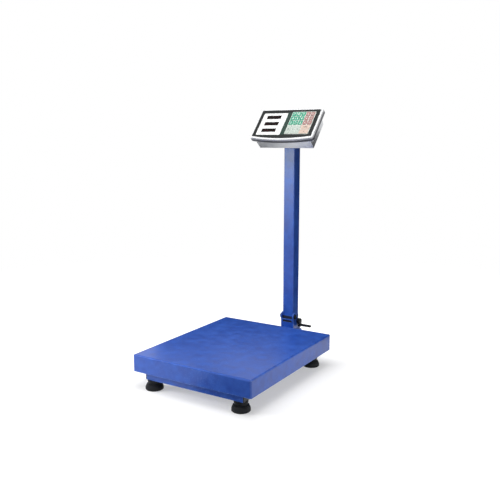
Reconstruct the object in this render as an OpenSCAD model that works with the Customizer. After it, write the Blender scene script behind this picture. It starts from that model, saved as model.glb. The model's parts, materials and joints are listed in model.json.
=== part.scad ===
// Folding platform scale: welded base with a load cell, lift-off pan, hinged column, tilting indicator head.
// Lengths are in millimetres. +X is the operator's right, +Y points away from the operator, +Z is up.
// The origin is on the floor under the middle of the overall width and depth.

/* [Platform] */
// Width of the pan
pan_w = 500; // [420:10:700]
// Depth of the pan
pan_d = 600; // [580:10:800]
// Height of the load surface over the floor
pan_top = 130; // [125:1:160]
// Sheet thickness of the pan
pan_t = 2; // [1:0.5:4]
// Height of the pan's skirt
skirt_h = 63; // [40:1:70]
// Radius of the pan's folded edges
pan_r = 6; // [4:0.5:12]
// Clearance of the rear skirt's notch round the outrigger
notch_fit = 3; // [2:0.5:5]

/* [Base frame] */
// Width over the base frame
frame_w = 412; // [380:2:600]
// Depth over the base frame
frame_d = 560; // [500:2:740]
// Outer size of the square base tube
base_tube = 40; // [30:1:45]
// Wall of the base tube
base_wall = 2.5; // [2:0.5:4]
// Width of the cell channel
channel_w = 100; // [90:2:140]
// Width of the rear outrigger
outrigger_w = 70; // [66:2:90]
// Wall of the cell channel
channel_wall = 5; // [3:0.5:8]
// Thickness of a tube plug's flange
plug_t = 3; // [2:0.5:5]
// Length of a plug inside its tube
plug_in = 8; // [6:1:8]
// How far the outrigger reaches behind the column
outrigger_over = 11; // [8:1:40]

/* [Feet] */
// Floor to the underside of the base frame
foot_h = 38; // [30:1:50]
// Largest diameter of the rubber foot
foot_d = 66; // [40:1:80]
// Neck diameter of the rubber foot
waist_d = 46; // [30:1:56]
// Top diameter of the rubber foot
foot_top_d = 50; // [30:1:60]
// Stud diameter of the foot
stud_d = 12; // [8:1:16]
// Length of stud above the underside of the frame
stud_up = 16; // [14:1:24]

/* [Weighing] */
// Length of the load cell
cell_l = 150; // [130:1:180]
// Width of the load cell
cell_w = 40; // [30:1:60]
// Height of the load cell
cell_h = 40; // [25:1:42]
// Distance of the inner and outer cell bolts from the middle
cell_bolt_in = 46; // [42:1:50]
cell_bolt_out = 61; // [58:1:64]
// Half spacing of the cell bolts across the cell
cell_bolt_x = 11; // [8:0.5:14]
// Outer size of the square top tube
top_tube = 25; // [20:1:28]
// Wall of the top tube
top_wall = 2; // [1.5:0.5:3]
// Half distance between the front and rear top tubes
top_y = 240; // [200:5:270]
// Half distance between the two cross tubes
cross_y = 86; // [84:1:120]
// Thickness of the top frame's middle plate
plate_t = 6; // [4:0.5:8]
// Thickness and diameter of the rubber pan pads
pad_t = 3; // [2:0.5:5]
pad_d = 24; // [16:1:25]
// Free travel over the overload stops
stop_gap = 1.8; // [1:0.1:3]
// Diameter of the overload stop screws
stop_d = 10; // [6:1:12]
// Distance of the overload stops from the middle
stop_y = 150; // [120:5:180]
// Diameter of the cell cable
cable_d = 6; // [4:0.5:8]

/* [Column and hinge] */
// Rear edge of the pan to the front of the column
column_gap = 106; // [100:1:106]
// Outer size of the square column
column_w = 50; // [46:1:60]
// Wall of the column
column_wall = 2.5; // [2:0.5:4]
// Corner radius of the column
column_r = 4; // [3:0.5:6]
// Lower end of the column tube
column_low = 147; // [147:1:160]
// Upper end of the column tube
column_top = 861; // [861:1:1000]
// Height of the hinge pivot
pivot_z = 141; // [140:1:145]
// Pivot behind the front of the column
pivot_in = 8; // [7:0.5:12]
// Diameter of the pivot pin
pivot_d = 12; // [10:0.5:14]
// Radius of the column foot round the pivot
foot_swing = 26; // [24:0.5:26.5]
// Length of the foot's plug in the tube
plug_up = 53; // [40:1:80]
// Thickness of the bracket's plates
cheek_t = 5; // [4:0.5:8]
// Radius of the bracket's cheeks round the pivot
cheek_r = 18; // [15:0.5:22]
// Pivot to the top of the bracket's front web
web_drop = 9.5; // [9.5:0.5:20]

/* [Clamp crank] */
// Clamp bolt behind the pivot
clamp_back = 25; // [24:0.5:30]
// Clamp bolt below the pivot
clamp_drop = 21; // [20:0.5:26]
// Diameter of the clamp bolt
clamp_d = 10; // [8:0.5:10]
// Distance of the grip from the clamp bolt
throw = 17; // [14:1:18]
// Hub radius of the crank
hub_r = 11.5; // [9:0.5:12]
// Radius of the crank's grip end
arm_r = 9; // [7:0.5:10]
// Thickness of the crank's arm
arm_t = 9; // [8:0.5:16]
// Hub length under the arm
hub_l = 5.5; // [5:0.5:10]
// Diameter and length of the grip
grip_d = 11; // [8:0.5:16]
grip_l = 50; // [30:1:80]

/* [Indicator head] */
// Width of the bezel
head_w = 287; // [286:1:320]
// Height of the bezel at its sides
head_h = 156; // [154:1:180]
// Bow of the bezel's lower edge
head_bow = 12; // [8:0.5:14]
// Corner radius of the bezel
head_r = 10; // [6:0.5:16]
// Width of the bezel's rim round the panel
rim_w = 8; // [7:0.5:9]
// Depth of the bezel
bezel_t = 20; // [18:0.5:30]
// Depth of the whole head behind the rim
head_depth = 70; // [66:0.5:80]
// Wall of the bezel and the shell
head_wall = 2.5; // [2:0.5:3]
// Slope of the panel at rest
head_tilt = 48.5; // [40:0.5:60]
// Shell back to the tilt axis
lug_back = 17; // [17:0.5:24]
// Tilt axis below the middle of the panel
lug_down = 15; // [10:0.1:16]
// Width of the tilt lug
lug_w = 25; // [20:0.5:30]
// Tilt axis above the end of the column
tilt_up = 29; // [28:0.5:36]
// Diameter of the tilt bolt
tilt_d = 8; // [6:0.5:10]
// Diameter and length of the tilt knob
knob_d = 26; // [20:1:27]
knob_l = 16; // [12:0.5:20]
// Thickness of the face panel
panel_t = 2; // [1.5:0.1:3]
// Panel below the rim
panel_sunk = 1; // [0.5:0.1:1.5]

/* [Displays and keypad] */
// Width and height of a display window
window_w = 66; // [50:1:68]
window_h = 18.5; // [12:0.5:20]
// Spacing of the display windows
window_pitch = 35; // [30:0.1:36]
// Middle of the windows from the middle of the panel
window_x = -68; // [-72:1:-64]
window_y = -3; // [-5:0.5:2]
// Spacing of the keys across and up
key_px = 20.8; // [20:0.1:22]
key_py = 23.4; // [20:0.1:24]
// Space between two keys
key_space = 2.6; // [2.2:0.1:4]
// Middle of the keypad from the middle of the panel
pad_x = 64; // [60:0.5:66]
pad_y = 0; // [-2:0.5:3]
// Key top above the panel
key_proud = 1.4; // [1.2:0.1:2]
// Travel of a key
key_travel = 1.2; // [0.8:0.1:1.2]

/* [Fits] */
// Radial clearance of a shaft in its bore
run_fit = 0.05; // [0.02:0.01:0.09]
// Clearance beside a sliding or folding part
slide_fit = 0.25; // [0.2:0.05:0.5]
// Clearance round a key
key_fit = 0.3; // [0.2:0.05:0.4]
// Clearance of a bolt in a plain hole
bolt_fit = 0.1; // [0.05:0.05:0.3]

/* [Hidden] */
$fn = 64;
eps = 1;

blue = [0.16, 0.32, 0.75];
silver = [0.78, 0.79, 0.8];
steel = [0.62, 0.63, 0.65];
black = [0.06, 0.06, 0.07];
dark = [0.12, 0.13, 0.15];
green = [0.35, 0.7, 0.45];
pale = [0.88, 0.92, 0.88];
pink = [0.87, 0.45, 0.5];
cream = [0.95, 0.82, 0.62];

// Depth positions
rear_over = column_gap + column_w + outrigger_over + plug_t;
pan_y = -rear_over / 2;
frame_y = pan_y;
col_front = pan_y + pan_d / 2 + column_gap;
col_y = col_front + column_w / 2;
col_back = col_front + column_w;
pivot_y = col_front + pivot_in;
out_y0 = frame_y + frame_d / 2;
out_y1 = col_back + outrigger_over;

// Heights
frame_top = foot_h + base_tube;
pan_under = pan_top - pan_t;
top_z1 = pan_under - pad_t;
top_z0 = top_z1 - top_tube;
plate_z0 = top_z0 - plate_t;
channel_floor = foot_h + channel_wall;
spacer_t = (plate_z0 - channel_floor - cell_h) / 2;
cell_z0 = channel_floor + spacer_t;
cell_z1 = cell_z0 + cell_h;
cable_z = foot_h + base_tube * 0.55;

// Feet and stops
foot_x = frame_w / 2 - base_tube / 2;
foot_y = frame_d / 2 - base_tube / 2;
foot_pad_h = foot_h - 0.6;
foot_edge = 2.5;
foot_rim_h = 9;
nut_h = 8;
nut_af = 19;

// Hinge
cheek_in = column_w / 2 + slide_fit;
cheek_out = cheek_in + cheek_t;
web_back = col_front - slide_fit;
web_front = web_back - cheek_t;
bracket_z0 = frame_top;
bracket_z1 = bracket_z0 + cheek_t;
bracket_end = col_back + 6;
web_top = pivot_z - web_drop;
slot_h = 8.5;
slot_w = 44;
slot_drop = 4.5;
slot_deep = cheek_t * 0.6;
bracket_half = max(outrigger_w / 2 - 1, cheek_out + 1);
clamp_y = pivot_y + clamp_back;
clamp_z = pivot_z - clamp_drop;
foot_under = pivot_z - 10;
hinge_nut_h = 8;
hinge_nut_af = 17;
pin_head_t = 4;
pin_head_d = 20;
mount_x = column_w / 2 - 11;
mount_y = [web_front + 14, bracket_end - 12];
hex8_af = 13;
hex8_h = 5.3;

// Column inside
bore_w = column_w - 2 * column_wall;
bore_r = 1.5;
plug_w = bore_w - 2 * bolt_fit;
screw_d = 6;
screw_head_d = 11;
screw_head_t = 3;
foot_screw_z = [column_low + plug_up - 30, column_low + plug_up - 12];
cap_plug = 34;
cap_t = 6;
cap_screw_z = [column_top - 24, column_top - 9];

// Crank along X
arm_x0 = cheek_out + 0.3 + hub_l;
arm_x1 = arm_x0 + arm_t;
spigot_d = 6;
spigot_l = arm_t - 2;

// Tilt clevis
tilt_y = col_y;
tilt_z = column_top + tilt_up;
ear_t = 6;
ear_r = 12;
ear_in = lug_w / 2 + slide_fit;
ear_out = ear_in + ear_t;
lug_r = 11;

// Head inside, with n measured out of the panel
half_w = head_w / 2;
half_h = head_h / 2;
panel_half_w = half_w - rim_w;
panel_half_h = half_h - rim_w;
ledge_w = 6;
panel_n1 = -panel_sunk;
panel_n0 = panel_n1 - panel_t;
front_n0 = panel_n0 - 2.5;
flange_t = 3;
flange_n1 = -bezel_t;
flange_n0 = flange_n1 - flange_t;
back_n = -head_depth;
back_in = back_n + flange_t;
belly_half1 = half_w - 18;
belly_half0 = half_w - 19.5;
belly_top1 = half_h - 16;
belly_top0 = half_h - 24;
belly_mid_n = -(bezel_t + head_depth) / 2;
belly_low = -half_h + 5;
board_n1 = -12;
board_t = 1.6;
board_n0 = board_n1 - board_t;
board_post_x = panel_half_w - 8;
board_post_y = panel_half_h - 11;
board_blocks = [[-20, 20, 34, 28, 14], [30, 24, 20, 20, 5], [60, 34, 40, 9, 10]];
battery_w = 70;
battery_l = 98;
battery_t = 38;
battery_x = -116;
battery_y = -60;
tab_w = 6;
tab_in = 9;
m4_r = 2;
m4_head_r = 3.75;
m4_head_t = 2.8;
m4_l = 13;
top_screw_y = half_h - 5.2;
low_screw_y = -half_h - 2.5;
top_screws = [[-110, top_screw_y], [0, top_screw_y], [110, top_screw_y]];
low_screws = [[-62, low_screw_y], [62, low_screw_y]];
shell_screws = concat(top_screws, low_screws);
boss_r = 4;
lug_y = -lug_down;
plate_hx = 32;
plate_y0 = lug_y - 28;
plate_y1 = lug_y + 28;
lug_plate_t = 3;
lug_screws = [[-24, plate_y0 + 7], [24, plate_y0 + 7], [-24, plate_y1 - 7], [24, plate_y1 - 7]];
lug_plate_n = back_n - lug_plate_t;

// Power inlet on the back
inlet_x = 86;
inlet_y = -8;
inlet_w = 32;
inlet_h = 62;
inlet_flange = 2.5;
inlet_body = 26;
inlet_n = back_n - inlet_flange;
rocker_y = inlet_y + 19;
rocker_w = 13;
rocker_l = 18.6;
rocker_tilt = 9;
rocker_hole_w = rocker_w + 2 * key_fit;
rocker_hole_l = 20.2;

// Keys as name, column, row, columns wide, rows high
KEYS = [["key_7", 0, 0, 1, 1], ["key_8", 1, 0, 1, 1], ["key_9", 2, 0, 1, 1],
  ["key_4", 0, 1, 1, 1], ["key_5", 1, 1, 1, 1], ["key_6", 2, 1, 1, 1],
  ["key_1", 0, 2, 1, 1], ["key_2", 1, 2, 1, 1], ["key_3", 2, 2, 1, 1],
  ["key_0", 0, 3, 1, 2], ["key_dot", 1, 3, 1, 2], ["key_clear", 2, 3, 1, 2],
  ["key_m1", 3, 0, 1, 1], ["key_m2", 4, 0, 1, 1], ["key_m3", 3, 1, 1, 1],
  ["key_m4", 4, 1, 1, 1], ["key_m5", 3, 2, 1, 1], ["key_m6", 4, 2, 1, 1],
  ["key_tare", 3, 3, 2, 1], ["key_total", 3, 4, 2, 1]];
key_cols = 5;
key_rows = 5;
key_r = 2;
key_flange = 0.8;
key_flange_t = 1.5;
key_n1 = panel_n1 + key_proud;
key_flange_n1 = panel_n0 - 0.05;
key_flange_n0 = key_flange_n1 - key_flange_t;
dome_n = key_flange_n0 - key_travel - 0.3;
dome_d = 9;
mat_n1 = board_n1 + 1.5;

function key_x(k) = pad_x + (k[1] + k[3] / 2 - key_cols / 2) * key_px;
function key_y(k) = pad_y + (key_rows / 2 - k[2] - k[4] / 2) * key_py;
function key_w(k) = k[3] * key_px - key_space;
function key_h(k) = k[4] * key_py - key_space;
function key_named(name) = [for (k = KEYS) if (k[0] == name) k][0];

// Box on the floor of its own frame with round upright edges
module rbox(w, d, h, r) {
  translate([-w / 2 + r, -d / 2, 0]) cube([w - 2 * r, d, h]);
  translate([-w / 2, -d / 2 + r, 0]) cube([w, d - 2 * r, h]);
  for (x = [-1, 1], y = [-1, 1])
    translate([x * (w / 2 - r), y * (d / 2 - r), 0]) cylinder(r = r, h = h);
}

// Cylinder along +X from x = 0
module xcyl(d, l) {
  rotate([0, 90, 0]) cylinder(d = d, h = l);
}

// Hexagon along +Z measured across its flats
module hex(af, h) {
  cylinder(d = af / cos(30), h = h, $fn = 6);
}

// Flat shape with round upper corners
module arch2d(w, h, r, low) {
  translate([-w / 2, low]) square([w, h - r - low]);
  translate([-w / 2 + r, low]) square([w - 2 * r, h - low]);
  for (x = [-1, 1]) translate([x * (w / 2 - r), h - r]) circle(r = r);
}

// Tray body with round upper and upright edges
module tray(w, d, h, r, low) {
  intersection() {
    rotate([90, 0, 0]) translate([0, 0, -d / 2]) linear_extrude(d) arch2d(w, h, r, low);
    rotate([90, 0, 90]) translate([0, 0, -w / 2]) linear_extrude(w) arch2d(d, h, r, low);
    translate([0, 0, low]) rbox(w, d, h - low, r);
  }
}

// Plate with round corners and a lower edge that bows outward
module bowed(hw, top, low, bow, r, h) {
  big = (hw * hw + bow * bow) / (2 * bow);
  mid = low - bow + big;
  cx = hw - r;
  // The corner sits a little below tangency, so it crosses the arc at a clear angle
  cy = mid - sqrt((big - r) * (big - r) - cx * cx) - 0.035 * r;
  intersection() {
    translate([0, mid, -1]) cylinder(r = big, h = h + 2, $fn = 720);
    union() {
      translate([-cx, low - bow - 1, 0]) cube([2 * cx, top - low + bow + 1, h]);
      translate([-hw, cy, 0]) cube([2 * hw, top - r - cy, h]);
      for (x = [-cx, cx]) {
        translate([x, cy, 0]) cylinder(r = r, h = h);
        translate([x, top - r, 0]) cylinder(r = r, h = h);
      }
    }
  }
}

// Bezel outline drawn in by an offset, from n0 up to n1
module outline(inset, n0, n1) {
  translate([0, 0, n0])
    bowed(half_w - inset, half_h - inset, -half_h + inset, head_bow, max(head_r - inset, 2), n1 - n0);
}

// Head frame: x across, y up the slope, z out of the panel
module in_head() {
  translate([0, tilt_y, tilt_z])
    rotate([head_tilt, 0, 0])
      translate([0, lug_down, head_depth + lug_back])
        children();
}

// Base with its tubes, the cell channel and the outrigger
module base_frame() {
  in_y = frame_d / 2 - base_tube;
  bore = base_tube - 2 * base_wall;
  color(blue) translate([0, frame_y, foot_h]) difference() {
    union() {
      for (y = [-frame_d / 2, in_y]) translate([-frame_w / 2, y, 0]) cube([frame_w, base_tube, base_tube]);
      for (x = [-1, 1])
        translate([x * foot_x - base_tube / 2, -in_y, 0]) cube([base_tube, 2 * in_y, base_tube]);
      translate([-channel_w / 2, -in_y, 0]) cube([channel_w, 2 * in_y, base_tube]);
      translate([-outrigger_w / 2, frame_d / 2, 0]) cube([outrigger_w, out_y1 - out_y0, base_tube]);
    }
    for (y = [-foot_y, foot_y])
      translate([-frame_w / 2 - eps, y - bore / 2, base_wall]) cube([frame_w + 2 * eps, bore, bore]);
    for (x = [-1, 1])
      translate([x * foot_x - bore / 2, -in_y, base_wall]) cube([bore, 2 * in_y, bore]);
    translate([-channel_w / 2 + channel_wall, -in_y, channel_wall])
      cube([channel_w - 2 * channel_wall, 2 * in_y, base_tube]);
    translate([-outrigger_w / 2 + base_wall, frame_d / 2, base_wall])
      cube([outrigger_w - 2 * base_wall, out_y1 - out_y0 + eps, bore]);
    for (x = [-foot_x, foot_x]) {
      for (y = [-foot_y, foot_y])
        translate([x, y, -eps]) cylinder(d = stud_d + 2 * run_fit, h = base_wall + 2 * eps);
      for (y = [-stop_y, stop_y])
        translate([x, y, base_tube - base_wall - eps]) cylinder(d = stop_d + 2 * bolt_fit, h = base_wall + 2 * eps);
      for (y = [-1, 1])
        translate([x, y * (in_y - 20), -eps]) cylinder(d = 8, h = base_wall + 2 * eps);
    }
    for (x = [-cell_bolt_x, cell_bolt_x], y = [cell_bolt_in, cell_bolt_out])
      translate([x, y, -eps]) cylinder(r = 4 + bolt_fit, h = channel_wall + 2 * eps);
    for (x = [-mount_x, mount_x], y = mount_y)
      translate([x, y - frame_y, base_tube - base_wall - eps])
        cylinder(r = 4 + bolt_fit, h = base_wall + 2 * eps);
    translate([0, in_y - eps, cable_z - foot_h]) rotate([-90, 0, 0])
      cylinder(d = cable_d + 2, h = base_tube + 2 * eps);
  }
}

// Black plugs in the open tube ends
module frame_plugs() {
  bore = base_tube - 2 * base_wall - 2 * bolt_fit;
  color(black) {
    for (x = [-1, 1], y = [-foot_y, foot_y])
      translate([x * frame_w / 2, frame_y + y, foot_h + base_tube / 2]) rotate([0, 90 * x, 0]) {
        translate([-base_tube / 2, -base_tube / 2, 0]) cube([base_tube, base_tube, plug_t]);
        translate([-bore / 2, -bore / 2, -plug_in]) cube([bore, bore, plug_in + plug_t / 2]);
      }
    translate([-outrigger_w / 2, out_y1, foot_h]) cube([outrigger_w, plug_t, base_tube]);
    translate([-outrigger_w / 2 + base_wall + bolt_fit, out_y1 - plug_in, foot_h + base_wall + bolt_fit])
      cube([outrigger_w - 2 * base_wall - 2 * bolt_fit, plug_in + plug_t / 2, bore]);
  }
}

// Nuts for the foot studs on the floor of the tubes
module foot_lock_nuts() {
  color(steel) for (x = [-foot_x, foot_x], y = [-foot_y, foot_y])
    translate([x, frame_y + y, foot_h + base_wall]) difference() {
      hex(nut_af, nut_h);
      translate([0, 0, -eps]) cylinder(d = stud_d + 2 * run_fit, h = nut_h + 2 * eps);
    }
}

// Rubber foot with a round shoulder and a neck, moulded on its stud
module levelling_foot(sx, sy) {
  r0 = foot_d / 2;
  rw = waist_d / 2;
  rt = foot_top_d / 2;
  color(black) translate([sx * foot_x, frame_y + sy * foot_y, 0]) {
    rotate_extrude() polygon([[0, 0], [r0 - foot_edge, 0], [r0, foot_edge], [r0, foot_rim_h],
      [r0 - 1, foot_rim_h + 4], [r0 - 2.8, foot_rim_h + 8], [r0 - 5.5, foot_rim_h + 11],
      [(r0 + rw) / 2, foot_rim_h + 13], [rw, foot_rim_h + 14.5], [rw, foot_pad_h - 7],
      [rt, foot_pad_h - 5], [rt, foot_pad_h], [0, foot_pad_h]]);
    cylinder(d = stud_d, h = foot_h + stud_up);
  }
}

// Bending beam with its twin bores
module load_cell() {
  color(steel) translate([0, frame_y, cell_z0]) difference() {
    translate([-cell_w / 2, -cell_l / 2, 0]) cube([cell_w, cell_l, cell_h]);
    for (y = [-17, 17]) translate([-cell_w / 2 - eps, y, cell_h / 2]) xcyl(cell_h * 0.7, cell_w + 2 * eps);
    translate([-cell_w / 2 - eps, -17, cell_h / 2 - 4]) cube([cell_w + 2 * eps, 34, 8]);
    for (x = [-cell_bolt_x, cell_bolt_x], y = [cell_bolt_in, cell_bolt_out]) {
      translate([x, y, -eps]) cylinder(r = 4 + run_fit, h = 18 + eps);
      translate([x, -y, cell_h - 18]) cylinder(r = 4 + run_fit, h = 18 + eps);
    }
  }
}

// Packing plates at the two ends of the cell
module cell_spacers() {
  len = cell_l / 2 - cell_bolt_in + 8;
  color(steel) for (s = [[1, channel_floor], [-1, cell_z1]])
    translate([0, frame_y, s[1]]) difference() {
      translate([-cell_w / 2, s[0] * (cell_l / 2 - len / 2) - len / 2, 0]) cube([cell_w, len, spacer_t]);
      for (x = [-cell_bolt_x, cell_bolt_x], y = [cell_bolt_in, cell_bolt_out])
        translate([x, s[0] * y, -eps]) cylinder(r = 4 + bolt_fit, h = spacer_t + 2 * eps);
    }
}

// Bolts from below at the fixed end and from above at the loaded end
module cell_bolts() {
  low_l = cell_z0 + 16 - foot_h;
  high_l = top_z0 - cell_z1 + 16;
  color(steel) for (x = [-cell_bolt_x, cell_bolt_x], y = [cell_bolt_in, cell_bolt_out]) {
    translate([x, frame_y + y, foot_h]) {
      cylinder(r = 4, h = low_l);
      translate([0, 0, -hex8_h]) hex(hex8_af, hex8_h);
    }
    translate([x, frame_y - y, top_z0]) {
      translate([0, 0, -high_l]) cylinder(r = 4, h = high_l + 1);
      hex(hex8_af, hex8_h);
    }
  }
}

// Lead from the cell through the rear tube into the outrigger
module cell_cable() {
  y0 = frame_y + cell_l / 2;
  color(black) translate([0, y0, cable_z]) rotate([-90, 0, 0]) {
    cylinder(d = cable_d, h = out_y1 - plug_in - 6 - y0);
    cylinder(d = cable_d + 6, h = 10);
  }
}

// Welded spider under the pan
module top_frame() {
  half = top_tube / 2;
  bore = top_tube - 2 * top_wall;
  span = foot_x - half;
  color(blue) translate([0, frame_y, top_z0]) difference() {
    union() {
      for (y = [-top_y, top_y]) translate([-foot_x - half, y - half, 0]) cube([2 * foot_x + top_tube, top_tube, top_tube]);
      for (x = [-foot_x, foot_x])
        translate([x - half, -top_y + half, 0]) cube([top_tube, 2 * top_y - top_tube, top_tube]);
      for (y = [-cross_y, cross_y]) translate([-span, y - half, 0]) cube([2 * span, top_tube, top_tube]);
      translate([-60, -cross_y - half, -plate_t]) cube([120, 2 * cross_y + top_tube, plate_t]);
    }
    for (y = [-top_y, top_y])
      translate([-foot_x - half - eps, y - bore / 2, top_wall]) cube([2 * foot_x + top_tube + 2 * eps, bore, bore]);
    for (x = [-foot_x, foot_x])
      translate([x - bore / 2, -top_y + half, top_wall]) cube([bore, 2 * top_y - top_tube, bore]);
    for (y = [-cross_y, cross_y]) translate([-span, y - bore / 2, top_wall]) cube([2 * span, bore, bore]);
    for (x = [-foot_x, foot_x], y = [-1, 1])
      translate([x, y * (top_y - 40), -eps]) cylinder(d = 6, h = top_wall + 2 * eps);
    for (x = [-1, 1], y = [-cross_y, cross_y])
      translate([x * (span - 20), y, -eps]) cylinder(d = 6, h = top_wall + 2 * eps);
    for (x = [-cell_bolt_x, cell_bolt_x], y = [cell_bolt_in, cell_bolt_out])
      translate([x, -y, -plate_t - eps]) cylinder(r = 4 + bolt_fit, h = plate_t + 2 * eps);
  }
}

// Rubber seats on the top frame
module pan_pads() {
  color(black) for (x = [-foot_x, foot_x], y = [-1, 1])
    translate([x, frame_y + y * (top_y - 25), top_z1]) cylinder(d = pad_d, h = pad_t);
}

// Screws with lock nuts that stop the top frame when it is overloaded
module overload_stops() {
  color(steel) for (x = [-foot_x, foot_x], y = [-stop_y, stop_y])
    translate([x, frame_y + y, 0]) {
      translate([0, 0, frame_top - 12]) cylinder(d = stop_d, h = top_z0 - stop_gap - frame_top + 12 - 3);
      translate([0, 0, frame_top]) hex(17, 8);
      translate([0, 0, top_z0 - stop_gap - 6.4]) hex(17, 6.4);
    }
}

// Folded sheet pan that lifts off
module platform_pan() {
  low = pan_top - skirt_h;
  notch_w = outrigger_w + 2 * notch_fit;
  notch_h = max(frame_top + notch_fit - low, 0);
  color(blue) translate([0, pan_y, low]) difference() {
    tray(pan_w, pan_d, skirt_h, pan_r, 0);
    tray(pan_w - 2 * pan_t, pan_d - 2 * pan_t, skirt_h - pan_t, pan_r - pan_t, -eps);
    translate([-notch_w / 2, pan_d / 2 - pan_t - eps, -eps]) cube([notch_w, pan_t + 2 * eps, notch_h + eps]);
  }
}

// Fixed bracket with the stop web in front and two cheeks
module hinge_bracket() {
  color(blue) difference() {
    union() {
      translate([-bracket_half, web_front, bracket_z0]) cube([2 * bracket_half, bracket_end - web_front, cheek_t]);
      translate([-cheek_out, web_front, bracket_z1]) cube([2 * cheek_out, cheek_t, web_top - bracket_z1]);
      for (x = [-cheek_out, cheek_in]) translate([x, 0, 0]) {
        rotate([90, 0, 90]) linear_extrude(cheek_t) polygon([[web_front, bracket_z1],
          [bracket_end, bracket_z1], [bracket_end, clamp_z - 12], [pivot_y + cheek_r - 1, pivot_z + 10],
          [pivot_y, pivot_z + cheek_r], [web_front, pivot_z + 8]]);
        translate([0, pivot_y, pivot_z]) xcyl(2 * cheek_r, cheek_t);
      }
    }
    translate([-slot_w / 2, web_front - eps, web_top - slot_drop - slot_h]) cube([slot_w, slot_deep + eps, slot_h]);
    translate([-cheek_out - eps, pivot_y, pivot_z]) xcyl(pivot_d + 2 * run_fit, 2 * cheek_out + 2 * eps);
    translate([-cheek_out - eps, clamp_y, clamp_z]) xcyl(clamp_d + 2 * run_fit, 2 * cheek_out + 2 * eps);
    for (x = [-mount_x, mount_x], y = mount_y)
      translate([x, y, bracket_z0 - eps]) cylinder(r = 4 + bolt_fit, h = cheek_t + 2 * eps);
  }
}

// Bolts of the bracket with nuts inside the outrigger
module bracket_bolts() {
  color(steel) for (x = [-mount_x, mount_x], y = mount_y) translate([x, y, bracket_z1]) {
    hex(hex8_af, hex8_h);
    translate([0, 0, -22]) cylinder(r = 4, h = 23);
    translate([0, 0, -cheek_t - base_wall - 6.5]) hex(hex8_af, 6.5);
  }
}

// Pin with a flat head on the right
module pivot_pin() {
  color(steel) translate([0, pivot_y, pivot_z]) {
    translate([cheek_out, 0, 0]) xcyl(pin_head_d, pin_head_t);
    translate([-cheek_out, 0, 0]) xcyl(pivot_d, 2 * cheek_out + pin_head_t / 2);
    translate([-cheek_out - hinge_nut_h - 2, 0, 0]) xcyl(clamp_d, hinge_nut_h + 4);
  }
}

// Nuts of the pin and of the clamp bolt on the left cheek
module hinge_nuts() {
  color(steel) for (p = [[pivot_y, pivot_z], [clamp_y, clamp_z]])
    translate([-cheek_out - hinge_nut_h, p[0], p[1]]) rotate([0, 90, 0]) difference() {
      hex(hinge_nut_af, hinge_nut_h);
      translate([0, 0, -eps]) cylinder(d = clamp_d + 2 * run_fit, h = hinge_nut_h + 2 * eps);
    }
}

// Square column
module column_tube() {
  color(blue) translate([0, col_y, column_low]) difference() {
    rbox(column_w, column_w, column_top - column_low, column_r);
    translate([0, 0, -eps]) rbox(bore_w, bore_w, column_top - column_low + 2 * eps, bore_r);
    for (z = concat(foot_screw_z, cap_screw_z))
      translate([0, 0, z - column_low]) rotate([-90, 0, 0]) cylinder(d = screw_d + 2 * bolt_fit, h = column_w);
  }
}

// Cast foot that swings in the bracket
module column_foot() {
  color(dark) difference() {
    union() {
      translate([-column_w / 2, col_front, foot_under]) cube([column_w, column_w, column_low - foot_under]);
      intersection() {
        translate([-column_w / 2, pivot_y, pivot_z]) xcyl(2 * foot_swing, column_w);
        translate([-column_w / 2, col_front, pivot_z - foot_swing - eps])
          cube([column_w, foot_swing * 2, 2 * foot_swing + eps - (pivot_z + foot_swing - column_low)]);
      }
      translate([0, col_y, column_low - eps]) rbox(plug_w, plug_w, plug_up + eps, bore_r);
    }
    translate([-column_w / 2 - eps, pivot_y, pivot_z]) xcyl(pivot_d + 2 * run_fit, column_w + 2 * eps);
    for (z = foot_screw_z)
      translate([0, col_y, z]) rotate([-90, 0, 0]) cylinder(d = screw_d + 2 * bolt_fit, h = column_w);
  }
}

// Cap with the two ears of the tilt clevis
module column_cap() {
  color(dark) difference() {
    union() {
      translate([0, col_y, column_top - cap_plug]) rbox(plug_w, plug_w, cap_plug + eps, bore_r);
      translate([0, col_y, column_top]) rbox(column_w, column_w, cap_t, column_r);
      for (x = [-ear_out, ear_in]) {
        translate([x, tilt_y - ear_r, column_top + cap_t / 2]) cube([ear_t, 2 * ear_r, tilt_up - cap_t / 2]);
        translate([x, tilt_y, tilt_z]) xcyl(2 * ear_r, ear_t);
      }
    }
    translate([-ear_out - eps, tilt_y, tilt_z]) xcyl(tilt_d + 2 * run_fit, 2 * ear_out + 2 * eps);
    for (z = cap_screw_z)
      translate([0, col_y, z]) rotate([-90, 0, 0]) cylinder(d = screw_d + 2 * bolt_fit, h = column_w);
  }
}

// Screws on the back of the column
module column_screws() {
  color(steel) for (z = concat(foot_screw_z, cap_screw_z))
    translate([0, col_back, z]) rotate([-90, 0, 0]) {
      cylinder(d1 = screw_head_d, d2 = screw_head_d - 3, h = screw_head_t);
      translate([0, 0, -20]) cylinder(d = screw_d, h = 21);
    }
}

// Bolt of the tilt clevis with its head on the left
module tilt_bolt() {
  color(steel) translate([0, tilt_y, tilt_z]) {
    translate([-ear_out - 5.3, 0, 0]) rotate([0, 90, 0]) hex(13, 5.3);
    translate([-ear_out - 1, 0, 0]) xcyl(tilt_d, 2 * ear_out + 1 + 0.3 + knob_l - 4);
  }
}

// Fluted knob on the right of the clevis
module tilt_knob() {
  color(black) translate([ear_out + 0.3, tilt_y, tilt_z]) rotate([0, 90, 0]) difference() {
    union() {
      cylinder(d = knob_d * 0.6, h = 4);
      translate([0, 0, 3]) cylinder(d = knob_d, h = knob_l - 3);
    }
    translate([0, 0, -eps]) cylinder(d = tilt_d + 2 * run_fit, h = knob_l - 3 + eps);
    for (a = [0:45:315]) rotate(a) translate([knob_d / 2 + 2.2, 0, 2]) cylinder(d = 9, h = knob_l);
  }
}

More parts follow.
